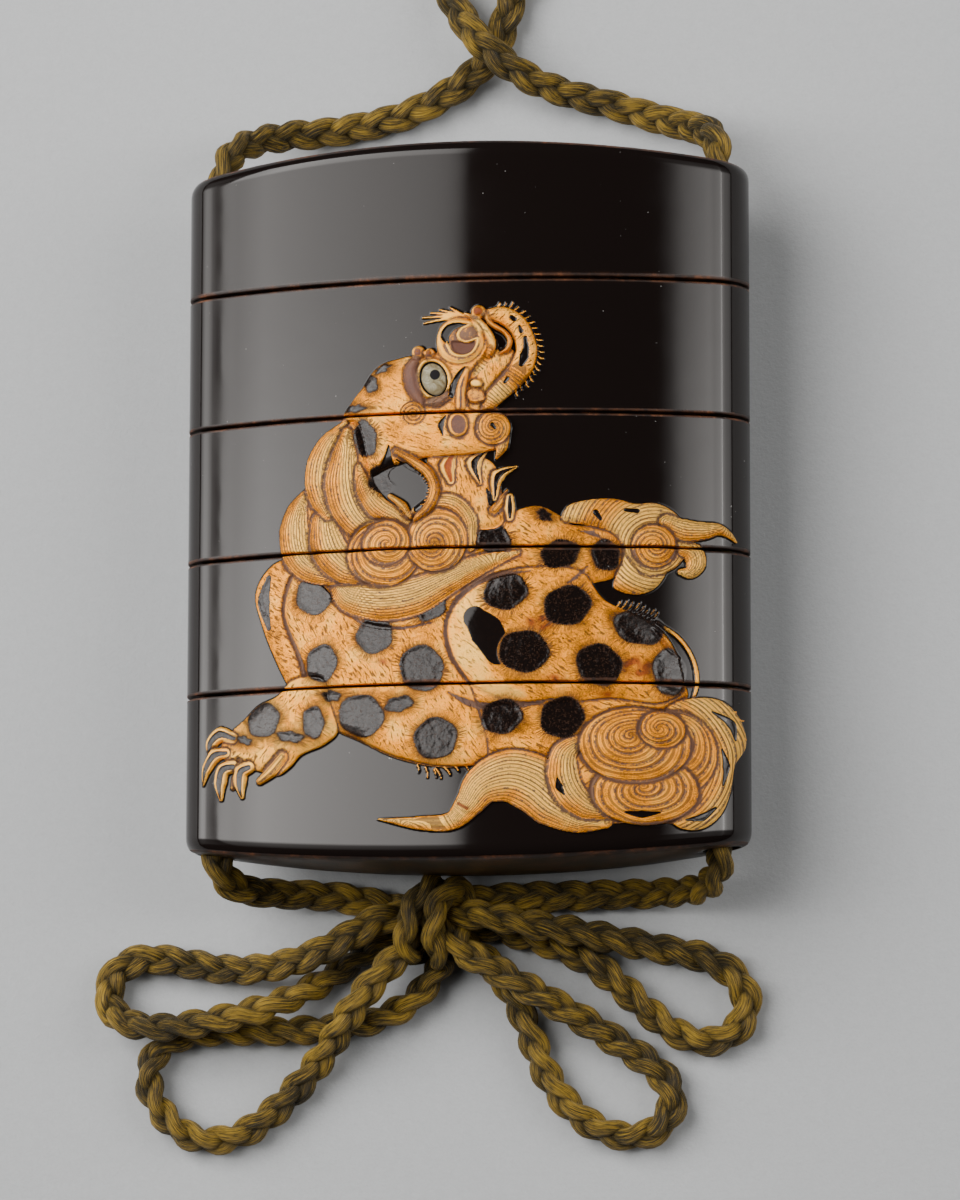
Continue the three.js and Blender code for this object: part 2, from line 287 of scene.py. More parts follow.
    def engraved(self, at, phase, depth, tone=0.6, worn=0.0, arms=0):
        """Engraved lines wherever phase passes a whole number, drawn by the finish from these values.

        Each line and each band between two lines has a strength, tone and wear of its own; in a spiral
        they repeat after its number of arms.
        """
        phase = phase + 0.16 * self.grain(at, 2.2, 3)
        cut, band, half = np.round(phase), np.floor(phase), np.floor(2 * phase)
        if arms:
            cut, band, half = cut % arms, band % arms, half % (2 * arms)
        turn = 2 * math.pi * phase
        stripe = 0.7 * np.clip(np.sin(39.3 * half + 1.7), 0, 1)
        return {
            "tone": tone + 0.1 + 0.4 * np.sin(12.9898 * band + 4.1),
            # painted shade: more of the rubbed mauve within 0.25 mm of the edge, where this shape meets its
            # neighbours
            "worn": np.clip(worn + stripe + 0.3 * smooth(0.25, 0.0, depth), 0, 1),
            "hair": smooth(0.02, 0.16, depth) * (0.7 + 0.3 * np.abs(np.sin(2.4 * cut + 1))),
            "wave_c": np.cos(turn),
            "wave_s": np.sin(turn),
        }

    def grain(self, at, size, seed=0):
        """Smooth random values from -1 to 1, `size` mm across."""
        x, y = self.x[at] / size + seed * 7.3, self.y[at] / size - seed * 3.1
        return (
            np.sin(1.7 * x + 2.1 * np.sin(1.1 * y + seed))
            + np.sin(2.3 * y + 1.9 * np.sin(1.3 * x - seed))
            + np.sin(1.9 * (x + y) + 1.3 * np.sin(1.7 * (x - y)))
        ) / 3

    def flow(self, depth, heading, strength=1.0, inset=0.2):
        """Short engraved hairs that lie along `heading` degrees."""
        turn = math.radians(heading)
        return {"fur": strength * smooth(inset - 0.1, inset + 0.2, depth), "flow_c": math.cos(turn),
                "flow_s": math.sin(turn)}

    def mass(self, at, depth, top, drop, width, values):
        """Raised gold with a rounded edge."""
        height = self.shoulder(depth, top, drop, width)
        self.lay(at, depth, height=height, gold=1.0, line=0.0, ruddy=0.0, **values)

    def lock(self, points, halves, top, hairs, drop=0.35, tone=0.62):
        """A lock of hair: engraved lines run from its root and meet at its tip."""
        at, depth, _, across = self.stroke(points, halves)
        # painted highlight: paler tone along the middle of the lock, darker towards its sides
        crown = 1 - across**2
        self.crease(at, depth, 0.85)
        lines = self.engraved(at, (across + 1) / 2 * hairs, depth, tone + 0.36 * crown - 0.2)
        self.mass(at, depth, top, drop, max(0.5, 0.8 * max(halves)), lines)

    def curl(self, x, y, half_width, half_height, top, turns, hand=1, core=None, tone=0.6):
        """A snail curl: engraved lines wind from its core to its edge."""
        at, depth, _, _ = self.disc(x, y, half_width, half_height)
        core_x, core_y = core or (x, y)
        u, v = (self.x[at] - core_x) / half_width, (self.y[at] - core_y) / half_height
        shift_u, shift_v = (x - core_x) / half_width, (y - core_y) / half_height
        lean = u * shift_u + v * shift_v
        rest = 1 - shift_u**2 - shift_v**2
        share = (np.sqrt(lean**2 + rest * (u**2 + v**2)) - lean) / rest
        angle = np.arctan2(v - shift_v * share, u - shift_u * share)
        phase = share**0.85 * turns - hand * CURL_ARMS * angle / (2 * math.pi)
        self.crease(at, depth, 0.9, 0.2)
        lines = self.engraved(at, phase, depth, tone + 0.2 * smooth(0.0, 0.6, share) - 0.1, arms=CURL_ARMS)
        self.mass(at, depth, top, 0.4, 0.75 * min(half_width, half_height), lines)

    def plate(self, points, top, tone=0.6, round_off=1.2, heading=None, rings=None, worn=0.05, crease=0.8,
              fur=1.0):
        """A modelled mass of the body, with short hairs or long engraved rings about a centre."""
        at, depth = self.area(points)
        self.crease(at, depth, crease)
        values = {"tone": tone + 0.16 * self.grain(at, 2.1, 1), "worn": worn}
        if rings:
            x, y, pitch, flat = rings
            phase = np.hypot(self.x[at] - x, (self.y[at] - y) * flat) / pitch
            values = self.engraved(at, phase, depth, tone, worn)
        else:
            values |= self.flow(depth, heading, fur)
        self.mass(at, depth, top, 0.35, round_off, values)

    def spot(self, x, y, half_width, half_height, turn=0.0, worn=0.9):
        """A patch of bare black lacquer; the finish draws the fine hairs that overlap its rim."""
        at, depth, _, angle = self.disc(x, y, half_width, half_height, turn, margin=1.4)
        depth = depth + 0.1 * np.sin(2 * angle + x) + 0.07 * np.sin(5 * angle + y)
        furry = self.gold[at] > 0.5
        self.lay(at, depth, edge=0.3, gold=0.0, line=0.0, worn=worn * (0.8 + 0.2 * self.grain(at, 1.2, x)))
        fringe = 2.0 * smooth(-1.0, -0.2, depth) * smooth(0.5, 0.2, depth) * furry
        heading = angle + math.radians(turn)
        self.fur[at] = np.maximum(self.fur[at], fringe)
        self.flow_c[at] = np.where(fringe > 0.1, np.cos(heading), self.flow_c[at])
        self.flow_s[at] = np.where(fringe > 0.1, np.sin(heading), self.flow_s[at])
        self.height[at] -= 0.05 * smooth(0.0, 0.5, depth)

    def bare(self, points, halves, worn=0.0):
        """Ground left black between gold shapes."""
        self.put(points, halves, sink=0.15, gold=0.0, line=0.0, worn=worn)

    def claw(self, points, halves, core_gold=0.0, core_ruddy=0.0):
        """A pale rim round a dark core, for claws and pointed tufts."""
        self.gild(points, halves, groove=(0.9,), rounded=(0.5, 0.3, 0.4), tone=1.05, worn=0.0, ruddy=0.0)
        at, depth, _, _ = self.stroke(points, [half / 2 for half in halves])
        self.lay(at, depth - 0.02, gold=core_gold, tone=0.35, worn=0.5, ruddy=core_ruddy,
                 height=self.height[at] - 0.12)

    def bristles(self, points, count, length, lean, half=0.06, tone=0.8, sign=1):
        """Fine raised hairs that stand out from a curve."""
        curve = spline(points)
        for i in range(count):
            place = (i + 0.5) / count * (len(curve) - 1)
            low = int(place)
            step = curve[min(low + 1, len(curve) - 1)] - curve[low]
            step = step / max(np.hypot(*step), 1e-6)
            root = curve[low] + step * (place - low)
            out = sign * np.array([-step[1], step[0]]) + lean * step
            reach = length * (0.8 + 0.4 * ((i * 0.618) % 1.0))
            tip = root + out / np.hypot(*out) * reach
            middle = (root + tip) / 2 + step * 0.08
            self.put([root, middle, tip], [half, half, 0.03], over=0.22, edge=0.05, gold=1.0, tone=tone,
                     worn=0.0, line=0.1)


# Ellipses (x, y, half width, half height, turn in degrees).
SPOTS = (
    (-14.4, -10.1, 2.1, 1.9, 0), (-7.7, -14.6, 2.1, 1.8, 0), (-13.5, -17.3, 1.8, 1.9, 0),
    (-1.6, -11.9, 1.9, 1.1, 28), (-2.6, -18.2, 2.4, 2.4, 0), (-9.1, -23, 2.5, 2.2, 0),
    (-5, -21.9, 1.4, 0.9, 10), (-1.1, -25.6, 2.4, 2.1, 0), (6.2, -10.3, 2.3, 1.9, 0),
    (12.5, -11.8, 2.4, 2.1, 0), (15.7, -18, 2.3, 2.2, 0), (19.7, -14, 2.5, 1.9, -20),
    (22.7, -18.7, 1.7, 2.4, 0), (5.8, -23.4, 2.2, 1.8, 0), (12, -23.5, 2.3, 2.1, 0),
    (4.9, -4.9, 1.9, 1.6, -8), (11.8, -6.3, 2.1, 1.4, 8), (16.4, -6.4, 1.5, 1.6, 0),
    (10.2, -2.2, 0.9, 0.5, -22), (-20.1, -23, 2, 1.7, 20),
    (-14.4, -23.5, 1.3, 1.6, 0), (-17, -24.9, 1.35, 0.65, -8), (-22.3, -25, 0.8, 0.45, -8),
    (-12.4, -20.8, 1, 0.6, -20),
)
RUDDY_PATCHES = (
    (9.6, -13.6, 2.4, 1.2), (19.6, -18.2, 2.2, 1.6), (11.4, -19.4, 2, 1), (6.4, -1.9, 1.4, 0.8),
    (4.8, -13.4, 2, 0.9), (7.4, -6.8, 1.6, 0.8), (-6.6, -17.4, 1.4, 0.8), (16.4, -21.2, 2, 0.8),
)


def carve_body(relief):
    relief.plate(
        [(6, -2.2), (7.4, -1.6), (9.6, -1.2), (11.4, -2), (13, -3.2), (15.1, -3.3), (17, -3.9), (18.6, -5),
         (18.8, -7), (17.2, -8.8), (14.8, -9.6), (15.3, -11), (18.6, -12.2), (21.2, -13.2), (22.8, -15.2),
         (23.7, -17), (24.1, -19), (24.6, -21.4), (20, -23.5), (15, -26), (10, -27.8), (4, -28.2),
         (-0.4, -28.6), (-5.5, -27.5), (-9.5, -25.6), (-12.2, -24.4), (-15, -23), (-17.2, -20),
         (-19.4, -15.8), (-20.6, -12.8), (-21.4, -9.6), (-20.4, -7.4), (-18.4, -6), (-12, -6), (0, -2)],
        top=0.5, tone=0.5, heading=-30,
    )
    relief.plate(
        [(-16.6, -7.6), (-17.9, -11.6), (-16.1, -16.7), (-15, -20.5), (-12.6, -23.9), (-9.5, -25.4),
         (-5.5, -27.3), (-0.4, -28.4), (4, -27.9), (3, -22), (1, -16), (2, -10), (-3, -8), (-10, -8.8)],
        top=0.66, tone=0.6, heading=-60, worn=0.08,
    )
    relief.plate(
        [(9, -7.8), (5, -8.6), (1.8, -10.6), (0.2, -13.6), (0.6, -16.8), (2.6, -19.7), (6, -21.4),
         (11, -22), (17, -21.4), (22, -21.8), (24.1, -20.4), (23.7, -17.2), (22.4, -14.8), (20, -12.9),
         (16.4, -11.2), (13.8, -8.2)], top=0.82, tone=0.46, heading=-38, round_off=2.2,
    )
    # painted highlight: a pale crescent inside the haunch's outline
    relief.put(
        [(6.4, -9.2), (3, -10.9), (1.9, -13.6), (2.4, -16.8), (4.4, -19.8), (8, -21.2)],
        [0.5, 1.3, 1.7, 1.5, 1.1, 0.3], edge=0.6, tone=0.95, worn=0.05, line=0, fur=0.6,
    )
    # sunk contour grooves on the body, coloured dark mauve: the grooves are real and their darkness is partly
    # painted shade
    for points, halves in (
        ([(8.7, -8.1), (4.5, -8.7), (1.4, -10.7), (-0.1, -13.6), (0.4, -16.8), (2.4, -19.9)],
         [0.1, 0.35, 0.3, 0.2, 0.3, 0.15]),
        ([(0.2, -20.8), (2.6, -22), (6.4, -22.4), (11, -21.6)], [0.1, 0.4, 0.4, 0.1]),
        ([(14, -3.9), (15.1, -4.1), (16.2, -4.8)], [0.1, 0.3, 0.1]),
        ([(14.6, -7.6), (13.4, -8.8), (12.6, -9.4)], [0.1, 0.25, 0.1]),
        ([(-16.9, -7.4), (-18, -11.6), (-16, -16.7), (-15.3, -19.4)], [0.15, 0.16, 0.2, 0.35]),
        ([(-12.6, -10.6), (-9, -13.2), (-5, -13.9), (-1.4, -13.4)], [0.1, 0.2, 0.2, 0.1]),
    ):
        relief.put(points, halves, sink=0.12, edge=0.18, tone=0.3, worn=1)
    relief.put([(3, -13), (4.2, -14.4), (5.4, -16.6)], [1.2, 1.8, 1.4], gold=0, worn=0.15, line=0)
    relief.put((8.1, -16.6, 2.75, 2.6), gold=1, tone=0.5, line=0.3)
    relief.spot(8.1, -16.6, 2.5, 2.3)
    relief.bare([(-19.7, -7.8), (-20.3, -10.4), (-19.7, -13.2)], [0.3, 0.8, 0.3], worn=0.6)
    relief.bristles([(-3.6, -28.2), (-1.2, -28.7), (1.4, -28.2)], 7, 1.1, 0.5, sign=-1)
    relief.bristles([(17.2, -11.8), (19.4, -12.4), (21.2, -13.2)], 8, 1.1, 0.35)
    relief.gild(
        [(21.6, -13.4), (23.8, -15), (25.2, -17.2), (25.6, -19.6), (25.1, -21.8)],
        [0.12, 0.17, 0.17, 0.2, 0.1], over=0.25, tone=0.8, worn=0,
    )
    relief.gild(
        [(21.2, -14.2), (22.6, -16), (23.8, -17.2)], [0.2, 0.3, 0.1], height=0.5, tone=0.5, ruddy=0.4,
    )


def carve_leg(relief):
    relief.plate(
        [(-14.8, -18.6), (-17.4, -19.2), (-18.6, -20.4), (-21, -21.4), (-22.8, -23), (-24.9, -24.6),
         (-25.4, -26), (-24.4, -27.4), (-22.4, -27.9), (-20.2, -28.5), (-18.6, -28.9), (-17.2, -28.1),
         (-16, -26.9), (-13.4, -25.9), (-11.9, -24.6), (-12.6, -21.8), (-13.4, -19)], top=0.62, tone=0.78,
        heading=-130,
    )
    relief.lock([(-18, -27), (-19.3, -28.4), (-20.7, -29.4)], [0.6, 0.65, 0.4], 0.6, hairs=3, tone=0.9)
    relief.lock([(-23, -27.3), (-23.7, -28.8), (-23.9, -29.9)], [0.3, 0.35, 0.3], 0.5, hairs=2, tone=0.9)
    for points, halves in (
        ([(-23.7, -24.7), (-25.4, -24.2), (-26.5, -25.1), (-26.8, -26.5)], [0.5, 0.85, 0.7, 0.12]),
        ([(-24.6, -26.2), (-26, -26.4), (-27, -27.7), (-27.5, -29.5)], [0.45, 0.75, 0.6, 0.08]),
        ([(-23.8, -27.7), (-25, -28), (-25.4, -29.4), (-25.3, -31.1)], [0.6, 0.8, 0.75, 0.2]),
        ([(-21.9, -27.9), (-22.8, -28.3), (-23, -29.6), (-22.8, -31)], [0.6, 0.8, 0.7, 0.2]),
    ):
        relief.claw(points, halves)


def carve_tail(relief):
    # an undercoat of gold lower than the locks, with more rubbed mauve than the body: painted shade in the
    # gaps between the locks and curls
    relief.plate(
        [(11.6, -28.4), (14.6, -26.4), (20, -24), (25, -24), (28, -26), (28, -31), (26, -34), (20, -34.4),
         (15, -34.4), (12, -33.4), (11.2, -31)], top=0.45, tone=0.5, heading=40, worn=0.25, crease=0,
    )
    relief.plate(
        [(22.5, -22.6), (25.3, -21.3), (28.2, -21.6), (29.8, -23.6), (30.1, -26.2), (29.2, -28.2),
         (28.8, -31), (27.8, -33.6), (26, -35), (23.6, -34.8), (22, -32)], top=0.5, tone=0.82,
        rings=(20.5, -28.2, 0.4, 1.05), worn=0,
    )
    for points, halves in (
        ([(27, -22.7), (28.7, -23.9), (29.1, -25.6)], [0.1, 0.45, 0.1]),
        ([(27.9, -26.6), (28.3, -28.4), (28, -30.4)], [0.1, 0.38, 0.1]),
        ([(24.4, -34.1), (26, -33.8), (27.3, -32.8)], [0.1, 0.42, 0.15]),
    ):
        relief.bare(points, halves, worn=0.3)
    relief.lock(
        [(-7.4, -33.9), (-3, -34.4), (0.6, -34.2), (2.4, -32.4), (3.8, -30.6), (6.4, -29.7), (8.9, -30.4),
         (11.2, -32.4), (13.6, -34), (16.4, -34.4)], [0.04, 0.7, 0.95, 1.5, 2.1, 2.75, 3, 2.7, 1.6, 0.7],
        0.62, hairs=15, tone=0.72,
    )
    relief.put([(1.2, -32.4), (2.2, -33)], [0.12, 0.16], tone=0.3, ruddy=1)
    relief.lock(
        [(14, -25.9), (12.3, -27.2), (12, -29.3), (12.7, -31.4), (14.4, -32.9), (16.8, -33.6)],
        [0.6, 1.3, 1.6, 1.6, 1.3, 0.5], 0.72, hairs=9, tone=0.7,
    )
    relief.bare([(11.5, -29.9), (11.7, -30.8), (12.2, -31.6)], [0.1, 0.42, 0.1])
    relief.curl(23.2, -27.2, 4.2, 4.4, 0.7, turns=10.1, core=(22.6, -25), tone=0.66)
    relief.curl(20.3, -31.2, 5.3, 3.5, 0.78, turns=7.8, core=(20, -30.8))
    relief.bare([(18.3, -33.4), (20, -33.6), (21.8, -33.4)], [0.1, 0.4, 0.1])
    relief.curl(19.3, -26.4, 5.5, 3.9, 0.92, turns=9, hand=-1, core=(18.9, -25.4))
    relief.curl(22, -24.7, 2.3, 1.9, 0.98, turns=4.9, hand=-1, core=(21.6, -24.6))
    relief.bristles([(28.4, -21.7), (29.9, -23.4), (30.1, -26)], 3, 0.9, -0.8, half=0.08, sign=-1)


def carve_tuft(relief):
    relief.plate(
        [(17.5, -8.6), (17.3, -9.8), (19.5, -10.5), (21.4, -9.8), (22.8, -7.6), (23.4, -4.6), (20, -4.4),
         (18.4, -5.2), (18.2, -7)], top=0.56, tone=0.66, rings=TUFT_RINGS, worn=0,
    )
    relief.plate(
        [(12, -2.6), (12.5, -1.3), (13.9, -0.7), (17.3, -0.4), (19.4, -0.9), (21.4, -0.8), (22.9, -1.4),
         (24.3, -2.8), (24.9, -5), (23.4, -7.6), (20.4, -8.4), (18.9, -6.6), (17.4, -4.1), (15, -3.3)],
        top=0.64, tone=0.56, rings=TUFT_RINGS, worn=0,
    )
    relief.bare([(15.4, -1.9), (15.9, -2.6)], [0.3, 0.2])
    relief.bare([(18.4, -1.6), (19.6, -1.7)], [0.2, 0.26])
    relief.lock(
        [(24, -5.4), (25.2, -6), (25.5, -7.1), (24.9, -8), (24, -8)], [0.8, 1.1, 1, 0.7, 0.3], 0.55,
        hairs=8, tone=0.8,
    )
    relief.lock(
        [(22.6, -2.9), (24.4, -3.6), (26.3, -3.6), (27.7, -3.4), (28.6, -3.8), (29.4, -4.6)],
        [0.9, 1.2, 0.95, 0.62, 0.38, 0.06], 0.6, hairs=8, tone=0.8,
    )
    relief.curl(21.3, -5.4, 2.2, 2.2, 0.86, turns=5.2)


def carve_throat(relief):
    relief.plate(
        [(-2, 4.6), (2, 4.4), (4.8, 3.4), (5.6, 0.6), (6.3, -1.6), (5.4, -3.4), (2, -3.4), (-1, -1.8),
         (-1.6, 1)], top=0.6, tone=0.6, heading=-75, worn=0.3,
    )
    relief.bare([(4.2, 0.6), (4.8, -0.8), (5.4, -2)], [0.1, 0.5, 0.1], worn=0.5)
    relief.lock([(5, -1.6), (5.8, -0.6), (6.3, 0.6)], [0.5, 0.5, 0.05], 0.55, hairs=3, tone=0.6)
    relief.claw([(6.6, -0.2), (6.6, -1.4), (6.6, -2.4)], [0.35, 0.55, 0.35])
    relief.claw([(0.9, 4.9), (0.1, 3.2), (0.4, 1.6)], [0.15, 0.85, 0.35], core_gold=1, core_ruddy=0.8)
    relief.claw([(4.1, 4.7), (2.9, 3.4), (3.5, 1.2)], [0.15, 0.8, 0.1])
    relief.claw([(7.3, 3), (5.4, 2), (5, -0.4)], [0.1, 0.7, 0.2])


def carve_head(relief):
    relief.plate(
        [(-11.5, 8.6), (-10.4, 10.4), (-9.2, 11.9), (-8.2, 13.4), (-7.1, 14.3), (-5.6, 14.7), (-4.2, 15),
         (-2.6, 15.1), (-1.2, 15.3), (-1.1, 16.8), (-0.7, 18.2), (0.6, 18.9), (2.2, 18.7), (3.5, 17.8),
         (4.8, 16.6), (4.7, 15), (3.6, 13.8), (3, 12.6), (4.2, 11), (5.2, 9.2), (6.4, 7.4),
         (5.8, 5.2), (2.4, 4.4), (-2, 4.2), (-6, 3.4), (-9, 2.4), (-11, 4.6)], top=0.78, tone=0.6,
        heading=-20, fur=0.7,
    )
    relief.plate(
        [(2.7, 13), (3.8, 14.3), (5, 15.4), (6.6, 15.6), (7.3, 14.6), (6.6, 13.2), (5.4, 12),
         (4.4, 10.6), (3.8, 9.2), (2.5, 9.3), (2.2, 11.2)], top=0.6, tone=0.7, worn=0.4, heading=-80,
    )
    relief.lock(
        [(4.2, 19.2), (5.8, 19.1), (7.2, 18.2), (8, 16.8), (8.3, 15.2), (7.9, 13.7), (6.9, 12.3),
         (5.8, 11.2), (4.8, 10.2), (4.2, 9.2)], [0.6, 0.95, 1.05, 1.05, 1.1, 1.15, 1.1, 1, 0.9, 0.6],
        0.88, hairs=2, tone=0.6,
    )
    relief.put(
        [(4.2, 19.2), (5.8, 19.1), (7.2, 18.2), (8, 16.8), (8.3, 15.2), (7.9, 13.7)],
        [0.5, 0.9, 1, 1, 1.05, 1.1], edge=0.12, tone=0.68, worn=0.05, hair=0, flow=(35, 1.1, 0.1),
    )
    carve_mouth(relief)
    relief.bristles(
        [(4.6, 20.1), (6.6, 19.9), (8.4, 18.5), (9.3, 16.6), (9.5, 14.6), (8.8, 12.8), (7.2, 11)], 34,
        0.55, 0.5, half=0.05,
    )
    for tip in ((-2.8, 19.1), (-2.6, 18.5), (-1.9, 19.6), (-0.9, 19.9), (0.2, 20.1)):
        middle = ((tip[0] + 1.7) / 2, (tip[1] + 19.2) / 2)
        relief.gild([(2.2, 18.9), middle, tip], [0.16, 0.12, 0.05], over=0.25, edge=0.05, tone=0.95)
    carve_nose(relief)
    carve_eye_socket(relief)
    carve_cheek(relief)


def carve_mouth(relief):
    """The lips, the dark of the open mouth, and the dashes and dark flecks along the jaw."""
    at, depth, along, _ = relief.stroke(
        [(7.6, 13.2), (6.8, 12.1), (5.8, 11.1), (4.8, 10.1), (4.2, 9.1)], [0.9, 0.95, 0.9, 0.8, 0.55],
    )
    relief.lay(at, depth, edge=0.15, fur=0, **relief.engraved(at, along * 16, depth, 0.55))
    for points, halves in (
        ([(6.8, 18.8), (7.1, 18.6)], [0.24, 0.26]),
        ([(7.6, 17.8), (7.8, 17.3)], [0.16, 0.24]),
        ([(8.2, 16.6), (8.3, 15.6), (8.1, 14.6), (7.8, 13.8)], [0.2, 0.3, 0.5, 0.3]),
        ([(6.4, 12.3), (6.1, 11.9)], [0.2, 0.2]),
        ([(4.8, 17.3), (5.5, 16.7), (5.8, 16), (5.6, 15.5)], [0.25, 0.48, 0.5, 0.25]),
    ):
        relief.bare(points, halves)
    relief.gild(
        [(4.1, 19.3), (4.4, 18.4), (5.2, 17.8), (6.1, 17.2), (6.6, 16.3), (6.3, 15.4), (5.6, 15)],
        [0.12, 0.26, 0.26, 0.24, 0.28, 0.24, 0.1], groove=FINE_GROOVE, rounded=(1.05, 0.25, 0.3), tone=0.75,
        worn=0.35, ruddy=0.3,
    )
    relief.gild(
        [(1.9, 19.3), (2.9, 18.8), (3.8, 17.9), (4.5, 16.9), (4.8, 15.9), (4.4, 14.8)],
        [0.15, 0.36, 0.42, 0.42, 0.36, 0.2], groove=FINE_GROOVE, rounded=(1, 0.2, 0.4), tone=1,
        worn=0, flow=(-50, 0.9, 0),
    )
    at, depth, along, _ = relief.stroke(
        [(4.6, 15.6), (4.1, 14.6), (3.5, 13.6), (2.9, 12.9)], [0.4, 0.5, 0.45, 0.25]
    )
    relief.lay(at, depth, edge=0.1, fur=0, **relief.engraved(at, along * 9, depth, 0.7))


def carve_nose(relief):
    relief.gild((1.35, 16.45, 2.5, 2.42), groove=FINE_GROOVE, rounded=(1.02, 0.35, 0.9), tone=0.9, worn=0)
    relief.put((1.55, 16.3, 2, 1.95), height=0.88, edge=0.2, tone=0.6, worn=0.85)
    relief.put(
        [(2.2, 18.05), (1.2, 18.05), (0.3, 17.7), (-0.15, 17), (0.05, 16.3)],
        [0.08, 0.28, 0.5, 0.52, 0.25], height=0.7, gold=0, worn=0, line=0,
    )
    relief.put(
        [(0.5, 16.3), (0.8, 15.3), (1.6, 14.95), (2.6, 15.2), (3, 16.1), (2.4, 16.4), (1.5, 16.3)],
        height=0.72, gold=1, tone=0.02, worn=0.9, ruddy=0.2, line=0.6,
    )
    relief.gild(
        (2.15, 17.15, 0.92, 0.85), groove=FINE_GROOVE, rounded=(1.02, 0.2, 0.5), tone=0.5, worn=0.85,
    )
    relief.gild(
        [(2.5, 18.1), (1.6, 17.7), (1.2, 17), (1.5, 16.45), (2.2, 16.25), (2.9, 16.5), (3.3, 16.6),
         (3.1, 15.7), (2.5, 15), (1.5, 14.75), (0.6, 15.1), (0.15, 15.8), (0, 16.3)],
        [0.08, 0.1, 0.12, 0.1, 0.1, 0.1, 0.12, 0.1, 0.1, 0.12, 0.12, 0.1, 0.08], height=1.04, edge=0.06,
        tone=1.1, worn=0, ruddy=0,
    )
    relief.gild((3.3, 19.5, 0.75, 0.72), groove=FINE_GROOVE, rounded=(1, 0.3, 0.5), tone=0.8)
    relief.put((3.3, 19.5, 0.48, 0.46), tone=0.1, worn=0.5, ruddy=0.45)


def carve_eye_socket(relief):
    relief.gild((-1.4, 12.4, 1.8, 2.25, 20), groove=FINE_GROOVE, height=0.98, tone=0.95, worn=0)
    relief.put((-1.4, 12.4, 1.48, 1.93, 20), height=0.6, gold=0)
    relief.put(
        [(-3.3, 14.6), (-3.85, 13.5), (-3.8, 12.3), (-3.4, 11.1), (-2.6, 9.8)],
        [0.35, 0.6, 0.65, 0.6, 0.35], groove=(0.8,), rounded=(1, 0.25, 0.5), gold=1, tone=0.3, worn=1,
        ruddy=0.1, line=0.15,
    )
    relief.gild(
        [(-2, 9.9), (-0.9, 10), (0.2, 10.6)], [0.25, 0.5, 0.35], groove=(0.85, 0.14),
        rounded=(0.98, 0.3, 0.5), tone=0.62, flow=(20, 0.8, 0),
    )
    relief.bare([(1.9, 13.6), (1.2, 12.7), (0.7, 11.6), (0.5, 10.6)], [0.1, 0.26, 0.36, 0.3])
    relief.gild(
        [(2.1, 13.2), (1.7, 12), (1.5, 10.8), (1.5, 9.4)], [0.2, 0.4, 0.42, 0.42], groove=FINE_GROOVE,
        rounded=(0.98, 0.3, 0.4), tone=0.8, worn=0.1,
    )
    relief.put(
        [(1.9, 12.6), (1.6, 11.6), (1.5, 10.6), (1.5, 9.4)], [0.05, 0.13, 0.14, 0.13], edge=0.05, gold=1,
        tone=0.1, worn=0.9,
    )
    relief.gild((3.1, 11.8, 0.6, 0.44, -14), groove=FINE_GROOVE, height=1, tone=1.2, worn=0.15)
    relief.gild(
        [(2.3, 11.1), (3.8, 11), (3.9, 10), (2.5, 9.9)], groove=FINE_GROOVE, height=0.9, tone=0.6,
        worn=0.55, ruddy=0.25,
    )
    for x, y, size in ((-3.1, 15.35, 0.7), (-1.9, 15.2, 0.55)):
        relief.gild((x, y, size, size), groove=FINE_GROOVE, rounded=(1, 0.3, 0.5), tone=0.85)
        relief.put((x, y, size * 0.55, size * 0.6), tone=0.1, worn=0.7, ruddy=0.2)


def carve_cheek(relief):
    at, depth, share, angle = relief.disc(-3.6, 8.8, 1.45, 1.4)
    whorl = relief.engraved(at, share * 3.6 - angle / (2 * math.pi), depth, 0.6, arms=1)
    relief.lay(at, depth, fur=0, **whorl)
    for spot in ((-8.2, 12.2, 0.85, 0.9, 15), (-6.9, 13.75, 0.9, 0.38, 14), (-9.9, 9.6, 1, 0.45, 10)):
        relief.spot(*spot, worn=0.75)
    relief.gild((1.2, 7.5, 1, 1.25, 8), groove=(0.9,), rounded=(0.92, 0.2, 0.3), tone=0.75, worn=0.1)
    relief.put((1.25, 7.5, 0.78, 1.02, 8), height=0.84, tone=0.3, worn=1.1, ruddy=0.1, line=0.1)
    relief.bare([(-0.1, 8.5), (-0.6, 7.5), (-0.4, 6.4)], [0.08, 0.35, 0.08], worn=0.8)
    relief.lock([(5.8, 6.2), (5.7, 5), (5.2, 3.9)], [0.75, 0.6, 0.12], 0.8, hairs=5, tone=0.7)
    relief.curl(4.9, 7.1, 1.75, 1.75, 0.98, turns=5, hand=-1, tone=0.62)
    relief.bare([(4.8, 7.4), (5.1, 7)], [0.22, 0.14])


